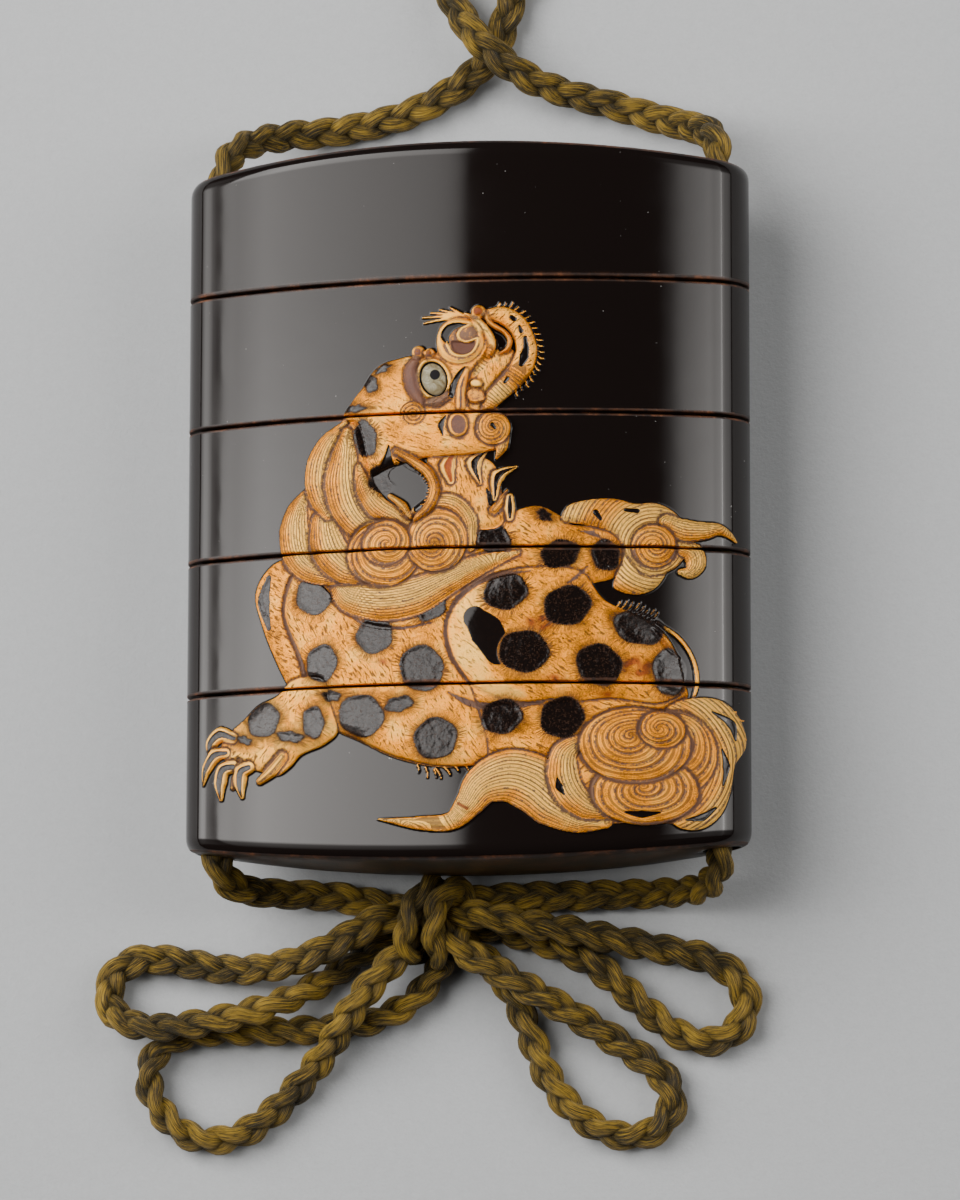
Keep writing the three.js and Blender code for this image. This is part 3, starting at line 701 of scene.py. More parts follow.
def carve_mane(relief):
    # an undercoat of gold lower than the locks, with more rubbed mauve than the body: painted shade in the
    # gaps between the locks and curls
    relief.plate(
        [(-10, 8.4), (-13.4, 6.6), (-15.2, 4.2), (-15.6, 1.4), (-17.6, -1.2), (-18.2, -4), (-17.2, -6.8),
         (-14, -8.6), (-12, -10.4), (-8, -12.4), (-3.6, -12), (1, -9.2), (5.4, -7.2), (3, -5), (2.6, -2),
         (-1, -0.4), (-4, -2.2), (-8, 1.6), (-8.6, 4.6)], top=0.5, tone=0.55, heading=-75, worn=0.2,
        crease=0,
    )
    for points, halves, top, hairs, tone in (
        ([(-12.4, -8.2), (-10.6, -10.2), (-7, -11), (-3.2, -10.5), (0.4, -8.8), (4.2, -7.1), (7.6, -6.1)],
         [0.7, 1.7, 2.1, 2, 1.5, 0.95, 0.15], 0.7, 14, 0.66),
        ([(-15.4, 1.3), (-16.5, -0.8), (-16.9, -3), (-16.5, -5.4), (-15.2, -7), (-12.6, -8), (-9.8, -8.4)],
         [0.3, 1.2, 1.7, 1.75, 1.5, 1.1, 0.5], 0.68, 11, 0.62),
        ([(-13.2, 0.2), (-13.5, -2.2), (-13.2, -4.4), (-12.4, -6), (-10.8, -7.4), (-8.6, -8.2)],
         [0.4, 1.4, 1.9, 1.95, 1.7, 0.8], 0.74, 11, 0.62),
        ([(-11.2, 8.2), (-13, 6.2), (-13.9, 4.2), (-14.1, 2), (-13.6, 0), (-12.9, -1.5)],
         [0.3, 1.1, 1.5, 1.6, 1.4, 0.6], 0.72, 9, 0.62),
        ([(-10.9, 7.2), (-11.2, 4.8), (-11.4, 1.9), (-10.8, -0.6), (-9.4, -2.6), (-7.4, -4)],
         [0.5, 1.4, 2, 2, 1.7, 1], 0.82, 11, 0.62),
        ([(-9.6, 3.4), (-8.9, 1), (-7.6, -0.9), (-5.7, -2.1), (-4.2, -3)],
         [0.3, 1, 1.2, 1.1, 0.5], 0.78, 8, 0.66),
        ([(-4.2, -2), (-1.8, -0.9), (0.6, -1.1), (2.1, -2.8), (2.4, -5.4)],
         [0.3, 0.9, 1.1, 1.1, 0.6], 0.76, 8, 0.64),
    ):
        relief.lock(points, halves, top, hairs, tone=tone)
    relief.curl(-6.8, -5.9, 3.9, 3.5, 0.84, turns=8.4, core=(-6.3, -4.6))
    relief.curl(-1.1, -4.7, 3.2, 3.3, 0.88, turns=7, hand=-1, core=(-1.5, -5.1))
    relief.curl(-6.5, -4.8, 2.5, 2.3, 0.98, turns=4.6, core=(-6.2, -4.9), tone=0.66)


def carve_ear(relief):
    relief.spot(-8.8, 6.4, 1.35, 1.9, 6, worn=0.75)
    relief.bare([(-6.5, 2.6), (-6.3, 4.2), (-6.2, 5.6)], [1, 0.45, 0.05])
    relief.spot(-6.9, 2.1, 1.65, 1.45, 0, worn=0.5)
    relief.bare([(-5.6, 2.4), (-3.8, 1.2), (-2.8, -0.2), (-3.3, -1.4)], [0.8, 1.15, 1, 0.25])
    relief.lock(
        [(-5.5, 4.9), (-3.7, 3.8), (-2, 2.5), (-1.3, 0.8), (-2, -1.2), (-3.4, -2.4)],
        [0.25, 0.5, 0.55, 0.6, 0.55, 0.25], 0.9, hairs=3, tone=0.5, drop=0.25,
    )
    relief.bristles(
        [(-3.7, 3.4), (-2.3, 2.2), (-1.8, 0.8), (-2.4, -1)], 12, 0.45, 0.6, half=0.05, tone=0.5, sign=-1,
    )
    relief.lock([(-6.2, 0.2), (-4.8, -0.9), (-3.9, -2.2)], [0.25, 0.45, 0.15], 0.8, hairs=3, tone=0.9)
    relief.bare([(-5.4, 4), (-4.2, 3.2), (-3.2, 2.6)], [0.08, 0.2, 0.08], worn=0.4)


def carve_figure(relief):
    carve_body(relief)
    carve_leg(relief)
    for spot in SPOTS:
        relief.spot(*spot)
    for patch in RUDDY_PATCHES:
        at, depth, _, _ = relief.disc(*patch)
        ruddy = smooth(0, 0.9, depth) * (0.55 + 0.45 * relief.grain(at, 0.6, 6)) * (relief.gold[at] > 0.5)
        relief.ruddy[at] = np.maximum(relief.ruddy[at], ruddy)
    for carve in (carve_tail, carve_tuft, carve_throat, carve_head, carve_mane, carve_ear):
        carve(relief)
    relief.height = np.maximum(relief.height, 0)
    for name in ("gold", "tone", "line", "worn", "ruddy", "hair", "fur"):
        setattr(relief, name, np.clip(getattr(relief, name), 0, 2.0 if name == "fur" else 1.2))


# ---- Meshes ------------------------------------------------------------------------------------
class Skin:
    """Vertices and faces of one piece in millimetres, with the values painted on its vertices."""

    def __init__(self, names=()):
        self.names = names
        self.points, self.values, self.quads, self.triangles = [], [], [], []
        self.count = 0

    def ring(self, points, **values):
        """Add vertices; the values that aren't given are 0. Returns their numbers."""
        points = np.asarray(points, float).reshape(-1, 3)
        self.points.append(points)
        self.values.append([np.zeros(len(points)) + values.get(name, 0.0) for name in self.names])
        first, self.count = self.count, self.count + len(points)
        return np.arange(first, self.count)

    def flat(self, ring):
        """The places (x, z) of a ring's vertices."""
        return np.vstack(self.points)[ring][:, [0, 2]]

    def band(self, a, b, flip=False):
        """Join two rings of the same length with four-sided faces."""
        quads = np.stack([a, np.roll(a, -1), np.roll(b, -1), b], axis=1)
        self.quads.append(quads[:, ::-1] if flip else quads)

    def fan(self, ring, place, flip=False, **values):
        """Close a ring with triangles to one new vertex in its middle."""
        middle = self.ring([place], **values)
        triangles = np.stack([ring, np.roll(ring, -1), np.full(len(ring), middle[0])], axis=1)
        self.triangles.append(triangles[:, ::-1] if flip else triangles)

    def sheet(self, loops, upward, inner=None):
        """Close a flat face between an outer ring and the rings of its holes. Its plane is x, z."""
        index = np.concatenate(loops + ([inner] if inner is not None else []))
        flat = self.flat(index)
        edges, first = [], 0
        for size in map(len, loops):
            edges += [(first + i, first + (i + 1) % size) for i in range(size)]
            first += size
        made = delaunay_2d_cdt([Vector(place) for place in flat], edges, [], 0, 1e-7)
        number = np.array([index[kept[0]] for kept in made[3]])
        triangles = np.array(made[2])
        corners = np.array([tuple(place) for place in made[0]])[triangles]
        middle = corners.mean(axis=1)
        keep = within(middle, self.flat(loops[0]))
        for loop in loops[1:]:
            keep &= ~within(middle, self.flat(loop))
        turn = np.cross(corners[:, 1] - corners[:, 0], corners[:, 2] - corners[:, 0])
        triangles = number[np.where((turn > 0)[:, None] == upward, triangles[:, ::-1], triangles)]
        self.triangles.append(triangles[keep])

    def make(self, name, smooth_faces=True):
        mesh = bpy.data.meshes.new(name)
        points = np.vstack(self.points) * MM
        quads = np.vstack(self.quads) if self.quads else np.zeros((0, 4), int)
        triangles = np.vstack(self.triangles) if self.triangles else np.zeros((0, 3), int)
        mesh.vertices.add(len(points))
        mesh.vertices.foreach_set("co", points.ravel())
        mesh.loops.add(quads.size + triangles.size)
        mesh.loops.foreach_set("vertex_index", np.concatenate([quads.ravel(), triangles.ravel()]))
        mesh.polygons.add(len(quads) + len(triangles))
        starts = np.concatenate([np.arange(len(quads)) * 4, quads.size + np.arange(len(triangles)) * 3])
        mesh.polygons.foreach_set("loop_start", starts)
        mesh.polygons.foreach_set("use_smooth", np.full(len(starts), smooth_faces))
        for i, value_name in enumerate(self.names):
            painted = mesh.attributes.new(value_name, "FLOAT", "POINT")
            values = np.concatenate([values[i] for values in self.values])
            painted.data.foreach_set("value", values.astype(np.float32))
        mesh.update(calc_edges=True)
        mesh.validate()
        piece = bpy.data.objects.new(name, mesh)
        bpy.context.scene.collection.objects.link(piece)
        return piece


# ---- The five sections -------------------------------------------------------------------------
PAINT = Relief.FIELDS[1:] + ("lip",)
MASKS = ("gold", "line", "worn", "ruddy", "hair", "fur")
# Where the figure lies on each section: left, right, top and bottom.
FIGURE_REACH = {
    "case_1": (-13.6, 10.8, 21.3, 8.0),
    "case_2": (-19.4, 30.4, 9.5, -6.0),
    "case_3": (-22.4, 26.8, -5.0, -20.5),
    "case_4": (-28.2, 30.4, -19.0, -37.2),
}
# Distances between vertices, on the figure and elsewhere.
FINE_STEP = 0.108
FRONT_STEP = 0.5
BACK_STEP = 1.6
ROW_STEP = 0.8
INNER_STEP = 0.9
EDGE_STEP = 0.1
DENSE_OUTLINE = oval(HALF_WIDTH, HALF_DEPTH, 0.02, BACK_STEP, BACK_FLAT)
# How worn the red-brown ground coat shows, from 0 to 1.
END_WEAR = SEAM_WEAR = 1.0
NEAR_SEAM_WEAR = 0.45
CHANNEL_WEAR = 0.6
FOOT_WEAR = 0.75
INNER_WEAR = 1.0
# Past this x nothing is raised; how far a closed end is drawn in; half sizes of its dome.
FIGURE_SIDE = 30.35
END_INSET = 0.9
DOME_HALF = (29.6, 10.1)


def wall_columns(fine_from, fine_to):
    """The section's outline with close columns only where the figure is."""
    kept, last = [], None
    for i, (place, normal) in enumerate(zip(*DENSE_OUTLINE)):
        step = 0.0
        if normal[1] > -0.02:
            step = FINE_STEP if fine_from < place[0] < fine_to else FRONT_STEP
        if last is None or math.dist(place, last) >= step:
            kept.append(i)
            last = place
    return DENSE_OUTLINE[0][kept], DENSE_OUTLINE[1][kept]


def wall_rows(top, bottom, reach):
    """Heights of the rings between two ends, close together only where the figure is."""
    rows, y = [], top
    while y > bottom + 0.03:
        rows.append(y)
        y -= FINE_STEP if reach and reach[3] < y < reach[2] else ROW_STEP
    return rows


def end_height(x, share=0.0):
    """How far the closed end stands from the middle of the case, at a place across it."""
    return END_Y - x**2 / (2 * END_PLAN_RADIUS) + END_DOME * share


def bowed(y, x):
    """A ring's heights: straight in the middle of the case, and more and more bowed near its ends."""
    return y - np.sign(y) * smooth(END_Y - 10, END_Y - END_ROUND, abs(y)) * x**2 / (2 * END_PLAN_RADIUS)


def end_rows(sign, x):
    """Heights, inset and wear of the rings over the rounded edge of a closed end, from the wall on."""
    rows = []
    for t in np.linspace(0, math.pi / 2, 7):
        height = end_height(x) - END_ROUND * (1 - math.sin(t))
        rows.append((sign * height, END_INSET * (1 - math.cos(t)), END_WEAR if t > 0.9 else 0.0))
    return rows


def seam_rows(sign, y):
    """The same for the small rounded edge at a seam."""
    rows = []
    for t in np.linspace(0, math.pi / 2, 5):
        rows.append((y - sign * SEAM_ROUND * (1 - math.sin(t)), SEAM_ROUND * (1 - math.cos(t)), SEAM_WEAR))
    return rows


def make_section(name):
    is_lid, is_foot = name == SECTIONS[0], name == SECTIONS[-1]
    low, high = box_mm(name)
    seam_top, seam_bottom = high[1] - (LIP_HEIGHT + SEAM_GAP), low[1]
    reach = FIGURE_REACH.get(name)
    skin = Skin(PAINT)
    places, normals = wall_columns(*(reach[:2] if reach else (0, 0)))
    upper = end_rows(1, places[:, 0]) if is_lid else seam_rows(1, seam_top)
    lower = end_rows(-1, places[:, 0]) if is_foot else seam_rows(-1, seam_bottom)
    start = (END_Y - END_ROUND if is_lid else seam_top - SEAM_ROUND) - EDGE_STEP
    end = (-END_Y + END_ROUND if is_foot else seam_bottom + SEAM_ROUND) + EDGE_STEP
    heights = wall_rows(start, end, reach)
    wear = np.zeros(len(heights))
    wear[0], wear[-1] = NEAR_SEAM_WEAR * (not is_lid), NEAR_SEAM_WEAR * (not is_foot)
    body = [(bowed(y, places[:, 0]), 0.0, worn) for y, worn in zip(heights, wear)]
    rows = upper[::-1] + body + lower
    y = np.array([np.zeros(len(places)) + row[0] for row in rows])
    inset = np.array([row[1] for row in rows])[:, None]
    x = np.broadcast_to(places[:, 0], y.shape)
    relief = Relief(x, y)
    if reach:
        carve_figure(relief)
    seen = (normals[:, 1] > 0.05) & (np.abs(places[:, 0]) < FIGURE_SIDE)
    out = relief.field("height") * seen - inset
    solid = np.stack([x + out * normals[:, 0], y, MID_Z + places[:, 1] + out * normals[:, 1]], axis=2)
    painted = {value: relief.field(value) * (seen if value in MASKS else 1) for value in PAINT[:-1]}
    rings = [
        skin.ring(solid[i], lip=row[2], **{value: painted[value][i] for value in painted})
        for i, row in enumerate(rows)
    ]
    for a, b in zip(rings, rings[1:]):
        skin.band(a, b)
    if is_lid:
        above = close_end(skin, rings[0], 1)
    else:
        above = open_top(skin, rings[0], is_foot, seam_top, seam_bottom)
    below = close_end(skin, rings[-1], -1) if is_foot else open_bottom(skin, rings[-1], is_lid, seam_bottom)
    for a, b in zip(above, below):
        skin.band(a, b, flip=True)
    return skin.make("section_" + name)


def level_ring(skin, x, y, z, lip):
    return skin.ring(np.stack([x, y + np.zeros(len(x)), MID_Z + z], axis=1), lip=lip)


def inner_ring(skin, size, y):
    places, _ = oval(*size, INNER_STEP, INNER_STEP)
    return level_ring(skin, places[:, 0], y, places[:, 1], INNER_WEAR)


def channel_rings(skin, height):
    """The two mouths of the cord channels, at a height given as a function of x."""
    turns = np.linspace(0, 2 * math.pi, 28, endpoint=False)
    z = CHANNEL_RADIUS * np.sin(turns)
    across = [side * CHANNEL_X + CHANNEL_RADIUS * np.cos(turns) for side in (-1, 1)]
    return [level_ring(skin, x, height(x), z, CHANNEL_WEAR) for x in across]


def dome_points(skin, sign, outline):
    """Places inside a closed end, a little higher towards its middle; the foot's are rubbed matt."""
    x, z = np.meshgrid(np.arange(-29, 29.1, 1.0), np.arange(-10, 10.1, 1.0))
    x, z = x.ravel(), z.ravel()
    spread = (x / DOME_HALF[0]) ** 2 + (z / DOME_HALF[1]) ** 2
    clear = (np.hypot(np.abs(x) - CHANNEL_X, z) > CHANNEL_RADIUS + 0.3) & (spread < 0.9)
    clear &= within(np.stack([x, z + MID_Z], axis=1), outline)
    x, z, spread = x[clear], z[clear], spread[clear]
    return level_ring(skin, x, sign * end_height(x, 1 - spread), z, FOOT_WEAR if sign < 0 else 0.0)


def close_end(skin, outer, sign):
    """The lid's top or the foot's bottom, with the mouths of the cord channels."""
    holes = channel_rings(skin, lambda x: sign * end_height(x, 0.1))
    middle = dome_points(skin, sign, skin.flat(outer) * [0.985, 1])
    skin.sheet([outer, *holes], sign > 0, middle)
    return holes


def open_top(skin, outer, is_foot, seam_top, seam_bottom):
    """A shoulder with a raised lip round the hollow of the section."""
    rim_y = seam_top + SEAM_GAP + LIP_HEIGHT
    floor_y = -END_Y + END_WALL if is_foot else seam_bottom + RECESS_DEPTH + FLOOR
    holes = channel_rings(skin, lambda x: seam_top)
    foot, crown = inner_ring(skin, LIP_SIZE, seam_top), inner_ring(skin, LIP_SIZE, rim_y)
    skin.sheet([outer, *holes, foot], True)
    skin.band(crown, foot)
    brink, floor = inner_ring(skin, HOLLOW_SIZE, rim_y), inner_ring(skin, HOLLOW_SIZE, floor_y)
    skin.sheet([crown, brink], True)
    skin.band(brink, floor, flip=True)
    skin.sheet([floor], True)
    return holes


def open_bottom(skin, outer, is_lid, seam_bottom):
    """A recess that takes the lip below; the lid's goes on into its own hollow."""
    shelf_y = seam_bottom + RECESS_DEPTH
    holes = channel_rings(skin, lambda x: seam_bottom)
    mouth, shelf = inner_ring(skin, RECESS_SIZE, seam_bottom), inner_ring(skin, RECESS_SIZE, shelf_y)
    skin.sheet([outer, *holes, mouth], False)
    skin.band(shelf, mouth, flip=True)
    if not is_lid:
        skin.sheet([shelf], False)
        return holes
    brink, roof = inner_ring(skin, HOLLOW_SIZE, shelf_y), inner_ring(skin, HOLLOW_SIZE, END_Y - END_WALL)
    skin.sheet([shelf, brink], False)
    skin.band(roof, brink, flip=True)
    skin.sheet([roof], False)
    return holes


EYE_HALF = (1.3, 1.75)
EYE_TURN = 0.35
EYE_THICK = 0.78
# Shares of the eye's width and heights below its crown, from the bottom of its side.
EYE_PROFILE = (
    (1.0, -0.75), (1.0, -0.2), (0.97, -0.1), (0.9, -0.04), (0.72, -0.01), (0.45, 0.0), (0.2, 0.0),
)


def make_shell_eye():
    """A low dome of shell in the eye's node, with a rounded rim."""
    low, high = box_mm("eye_inlay")
    middle = (low + high) / 2
    skin = Skin()
    rings = []
    turns = np.linspace(0, 2 * math.pi, 48, endpoint=False)
    for share, depth in EYE_PROFILE:
        u, v = EYE_HALF[0] * share * np.cos(turns), EYE_HALF[1] * share * np.sin(turns)
        x = middle[0] + u * math.cos(EYE_TURN) - v * math.sin(EYE_TURN)
        y = middle[1] + u * math.sin(EYE_TURN) + v * math.cos(EYE_TURN)
        z = np.full(len(turns), high[2] + depth - 0.05 * share**2)
        rings.append(skin.ring(np.stack([x, y, z], axis=1)))
    for a, b in zip(rings, rings[1:]):
        skin.band(a, b)
    skin.fan(rings[-1], (middle[0], middle[1], high[2]))
    skin.fan(rings[0], (middle[0], middle[1], high[2] - EYE_THICK), flip=True)
    return skin.make("shell_eye")


# ---- The silk cord -----------------------------------------------------------------------------
# Places (x, y, z) along the cord's middle; LOW is its height on the table.
LOW = 1.8
TOP_ROUTE = (
    (-27.3, 37.2, 10.8), (-27.3, 38.4, 10.8), (-26.6, 40.2, 9.8), (-24.8, 42, 6.8), (-21.4, 43.3, 3.6),
    (-17, 43.9, LOW), (-9.4, 45.3, LOW), (-4.9, 47.2, LOW), (-1.4, 49.5, LOW), (1, 52, LOW),
    (2.4, 55.4, LOW), (4, 61, LOW), (10.5, 69.5, LOW), (14.5, 78, LOW), (12, 88, LOW), (2, 94, LOW),
    (-9.5, 91.5, LOW), (-15.5, 82, LOW), (-12.5, 71, LOW), (-6, 62.5, LOW), (-3, 57.4, 2.8), (-1, 54, 5),
    (1.8, 51.2, 5.6), (5, 48.8, 4.4), (9, 47.2, 2.2), (13, 46.1, LOW), (18.4, 44.4, LOW), (23, 42.6, 4.2),
    (26, 40.8, 8.2), (27, 39.4, 10.2), (27.3, 38.2, 10.8), (27.3, 37.2, 10.8),
)
TIE_LEFT = (
    (-27.3, -37.2, 10.8), (-27.3, -38, 10.8), (-26.6, -39.2, 9), (-25.2, -40, 6.6), (-21.6, -40.1, 3),
    (-15.4, -40.4, LOW), (-11, -41.4, LOW), (-8.8, -42, 2.2), (-6.8, -42.4, 3.2),
)
TIE_RIGHT = (
    (27.3, -37.2, 10.8), (27.3, -38, 10.8), (26.5, -39.3, 9), (24.8, -40.2, 6.4), (20.4, -40.5, 2.8),
    (14, -40.6, LOW), (7, -40.6, LOW), (-0.4, -40.9, LOW), (-2.4, -41.3, 2.4), (-4.4, -42, 3.2),
)
UPPER_LEFT_LOOP = (
    (-10.9, -43.1, 5.4), (-14, -45, 5.4), (-17.6, -46.8, 5.4), (-22, -48, 4.4), (-28, -48.2, 2.6),
    (-34.4, -47, LOW), (-38.8, -46.9, LOW), (-41.4, -49.2, LOW), (-41, -52.4, 2.4), (-37.8, -54.2, 4.5),
    (-33.6, -54.5, 5.4), (-27.6, -53.6, 5.3), (-22, -52, 4.6), (-17.6, -49.6, LOW), (-13, -46.6, LOW),
    (-11, -45.2, LOW),
)
LOWER_LEFT_LOOP = (
    (-8.4, -47, 5.3), (-10.6, -49.2, 5.4), (-13.6, -52.8, 5.3), (-17, -57.2, 2.6), (-21.2, -62, LOW),
    (-26.4, -66, LOW), (-31.8, -66.4, LOW), (-36, -62.6, LOW), (-37, -58.4, LOW), (-34, -55.4, LOW),
    (-28, -54.8, LOW), (-20.5, -54.8, LOW), (-12, -53.8, LOW), (-7, -51.4, LOW), (-4.8, -48, LOW),
)
UPPER_RIGHT_LOOP = (
    (-0.7, -42.6, 5.4), (5.5, -43.8, 5.4), (12.4, -44.9, 3.4), (19.4, -46.4, LOW), (24.8, -47.6, LOW),
    (28.4, -50.3, LOW), (28.6, -54, LOW), (25.6, -56.5, LOW), (21.8, -55.9, LOW), (18.6, -53.6, LOW),
    (15.6, -50.8, LOW), (12, -47.8, LOW), (6.4, -45.4, LOW), (3, -44.4, LOW),
)
LOWER_RIGHT_LOOP = (
    (-2.4, -46, 5.3), (1.3, -48.2, 5.3), (6, -51, 5), (10.6, -53.6, 3), (15, -56.5, LOW),
    (19, -59.2, LOW), (20.9, -62, LOW), (19.9, -65.1, LOW), (16.9, -66.5, LOW), (13, -65.8, LOW),
    (9.4, -63.2, LOW), (6.8, -59.4, LOW), (5, -54.6, LOW), (3, -50.4, LOW), (0.6, -47.6, LOW),
)
BOW_ROUTE = (
    ((-5.8, -42.6, 3.2), (-8.4, -42.6, 4.7))
    + UPPER_LEFT_LOOP
    + ((-8.6, -43.9, 1.9), (-5.6, -43.3, 1.9), (-2.8, -42.6, 3))
    + UPPER_RIGHT_LOOP
    + ((0, -43.6, 1.9), (-3.6, -43.8, 1.9), (-6, -45.6, 1.9), (-7.6, -47, 4.2), (-7.5, -45.4, 6.6),
       (-6.9, -42.6, 7.3), (-5.8, -40.2, 6.6), (-4.4, -39.3, 4), (-4.8, -40.8, 2.2), (-6.8, -44.6, 3),
       (-7.4, -46.4, 4.8))
    + LOWER_LEFT_LOOP
    + ((-3.9, -47.2, 2), (-4.2, -47, 4.6), (-4.6, -44.9, 6.6), (-4.4, -42.2, 7), (-3.4, -40.3, 6),
       (-2, -39.7, 3.6), (-2.2, -42, 2.6), (-2.6, -44.4, 4.5))
    + LOWER_RIGHT_LOOP
    + ((-1.2, -45.9, 1.9), (-3.4, -44.3, 2.6))
)
# The plait: its pitch and how far a strand moves sideways and up; half sizes of one strand.
PLAIT_PITCH = 10.5
PLAIT_SWAY = 0.8
PLAIT_RISE = 0.55
PLAIT_STEP = 0.45
STRAND_WIDE = 0.92
STRAND_HIGH = 0.84
STRAND_SIDES = 12


def evenly(points, step):
    """A smooth line through the points, cut into equal steps, and its length."""
    curve = spline(points, steps=14)
    for rounds in (24, 0):
        reach = np.concatenate([[0], np.cumsum(np.linalg.norm(np.diff(curve, axis=0), axis=1))])
        places = np.linspace(0, reach[-1], max(2, round(reach[-1] / step)) + 1)
        curve = np.stack([np.interp(places, reach, curve[:, i]) for i in range(3)], axis=1)
        for _ in range(rounds):
            curve[1:-1] = (curve[:-2] + 2 * curve[1:-1] + curve[2:]) / 4
    return curve, reach[-1]


def unit(vectors):
    return vectors / np.linalg.norm(vectors, axis=-1, keepdims=True)


def carried_frame(line):
    """Side and upward directions carried along a line without twisting."""
    along = unit(np.gradient(line, axis=0))
    side = np.zeros_like(line)
    side[0] = unit(np.cross(along[0], [0.05, 0.02, 1.0]))
    for i in range(1, len(line)):
        side[i] = unit(side[i - 1] - along[i] * (side[i - 1] @ along[i]))
    return side, np.cross(side, along)


def make_plait(name, points):
    """Three strands that cross over each other along one smooth line; also its path and length."""
    line, length = evenly(points, PLAIT_STEP)
    side, up = carried_frame(line)
    reach = np.linspace(0, length, len(line))
    skin = Skin(("thread_x", "thread_y", "thread_z", "deep"))
    rng = np.random.default_rng(len(line))
    turns = np.linspace(0, 2 * math.pi, STRAND_SIDES, endpoint=False)
    c, s = np.cos(turns), np.sin(turns)
    for strand in range(3):
        phase = reach * 2 * math.pi / PLAIT_PITCH + strand * 2 * math.pi / 3
        sway = PLAIT_SWAY * (1 + 0.06 * np.sin(reach * 0.23 + strand))
        rise = PLAIT_RISE * np.sin(2 * phase)
        middle = line + (sway * np.sin(phase))[:, None] * side + rise[:, None] * up
        along = unit(np.gradient(middle, axis=0))
        over = unit(up - along * np.sum(up * along, axis=1)[:, None])
        across = np.cross(along, over)
        plump = 1 + 0.05 * np.sin(reach * 0.9 + strand * 2.1) + 0.02 * rng.standard_normal(len(reach))
        rings = []
        for i in range(len(line)):
            place = np.outer(STRAND_WIDE * c, across[i]) + np.outer(STRAND_HIGH * s, over[i])
            place = middle[i] + plump[i] * place
            place[:, 2] = np.maximum(place[:, 2], 0.02)
            # deep: 1 where a strand's surface lies within about 0.85 mm of the plait's middle line, tucked in
            # between the strands; the silk finish paints shade there
            deep = smooth(1.5, 0.85, np.linalg.norm(place - line[i], axis=1))
            rings.append(skin.ring(place, thread_x=c + 5 * strand, thread_y=s, thread_z=reach[i], deep=deep))
        for a, b in zip(rings, rings[1:]):
            skin.band(a, b)
        skin.fan(rings[0], middle[0], flip=True)
        skin.fan(rings[-1], middle[-1], thread_z=length)
    piece = skin.make(name)
    path = [tuple(place * MM) for place in (*line[:-2:4], line[-1])]
    return piece, path, length * MM


# ---- Materials ---------------------------------------------------------------------------------
def maths(operation, swapped=False):
    """A method that puts one Math node after two values."""
    def apply(self, other):
        values = (other, self) if swapped else (self, other)
        return self.tree.node("ShaderNodeMath", {"operation": operation}, dict(enumerate(values)))
    return apply


class Value:
    """One output socket, so that shader maths can be written as plain expressions."""

    def __init__(self, tree, socket):
        self.tree, self.socket = tree, socket

    __add__ = __radd__ = maths("ADD")
    __sub__ = maths("SUBTRACT")
    __rsub__ = maths("SUBTRACT", swapped=True)
    __mul__ = __rmul__ = maths("MULTIPLY")
    __truediv__ = maths("DIVIDE")
    __pow__ = maths("POWER")
    most = maths("MAXIMUM")

    def between(self, low, high):
        """0 below low, 1 above high, and smooth in between."""
        span = {"data_type": "FLOAT", "interpolation_type": "SMOOTHSTEP"}
        return self.tree.node("ShaderNodeMapRange", span, {0: self, 1: low, 2: high, 3: 0.0, 4: 1.0})

    def clipped(self):
        """The value kept between 0 and 1."""
        return self.tree.node("ShaderNodeMath", {"operation": "ADD", "use_clamp": True}, {0: self, 1: 0.0})

    def beside(self, output):
        """Another output of the same node."""
        return Value(self.tree, self.socket.node.outputs[output])


class Nodes:
    """A node tree that is written in lines of Python."""

    def __init__(self, tree, shader):
        self.tree, self.shader = tree, tree.nodes[shader]

    def feed(self, socket, value):
        if isinstance(value, Value):
            self.tree.links.new(value.socket, socket)
        elif isinstance(value, (tuple, list)) and len(value) == 3 and len(socket.default_value) == 4:
            socket.default_value = (*value, 1.0)
        else:
            socket.default_value = value

    def set(self, **values):
        """Give the shader's own sockets their values, by name with _ for a space."""
        for name, value in values.items():
            self.feed(self.shader.inputs[name.replace("_", " ")], value)

    def node(self, kind, settings, inputs, output=0):
        """Add a node of a type with its settings and the values or links of its sockets."""
        node = self.tree.nodes.new(kind)
        for key, value in settings.items():
            if key == "stops":
                while len(node.color_ramp.elements) < len(value):
                    node.color_ramp.elements.new(1.0)
                for element, (place, colour) in zip(node.color_ramp.elements, value):
                    element.position = place
                    element.color = (*colour, 1.0)
            else:
                setattr(node, key, value)
        for key, value in inputs.items():
            self.feed(node.inputs[key], value)
        return Value(self, node.outputs[output])

    def ramp(self, value, *stops):
        """A colour ramp through stops of a place and a colour."""
        return self.node("ShaderNodeValToRGB", {"stops": stops}, {0: value})

    def parts(self, vector):
        """The first two numbers of a vector."""
        first = self.node("ShaderNodeSeparateXYZ", {}, {0: vector})
        return first, first.beside(1)


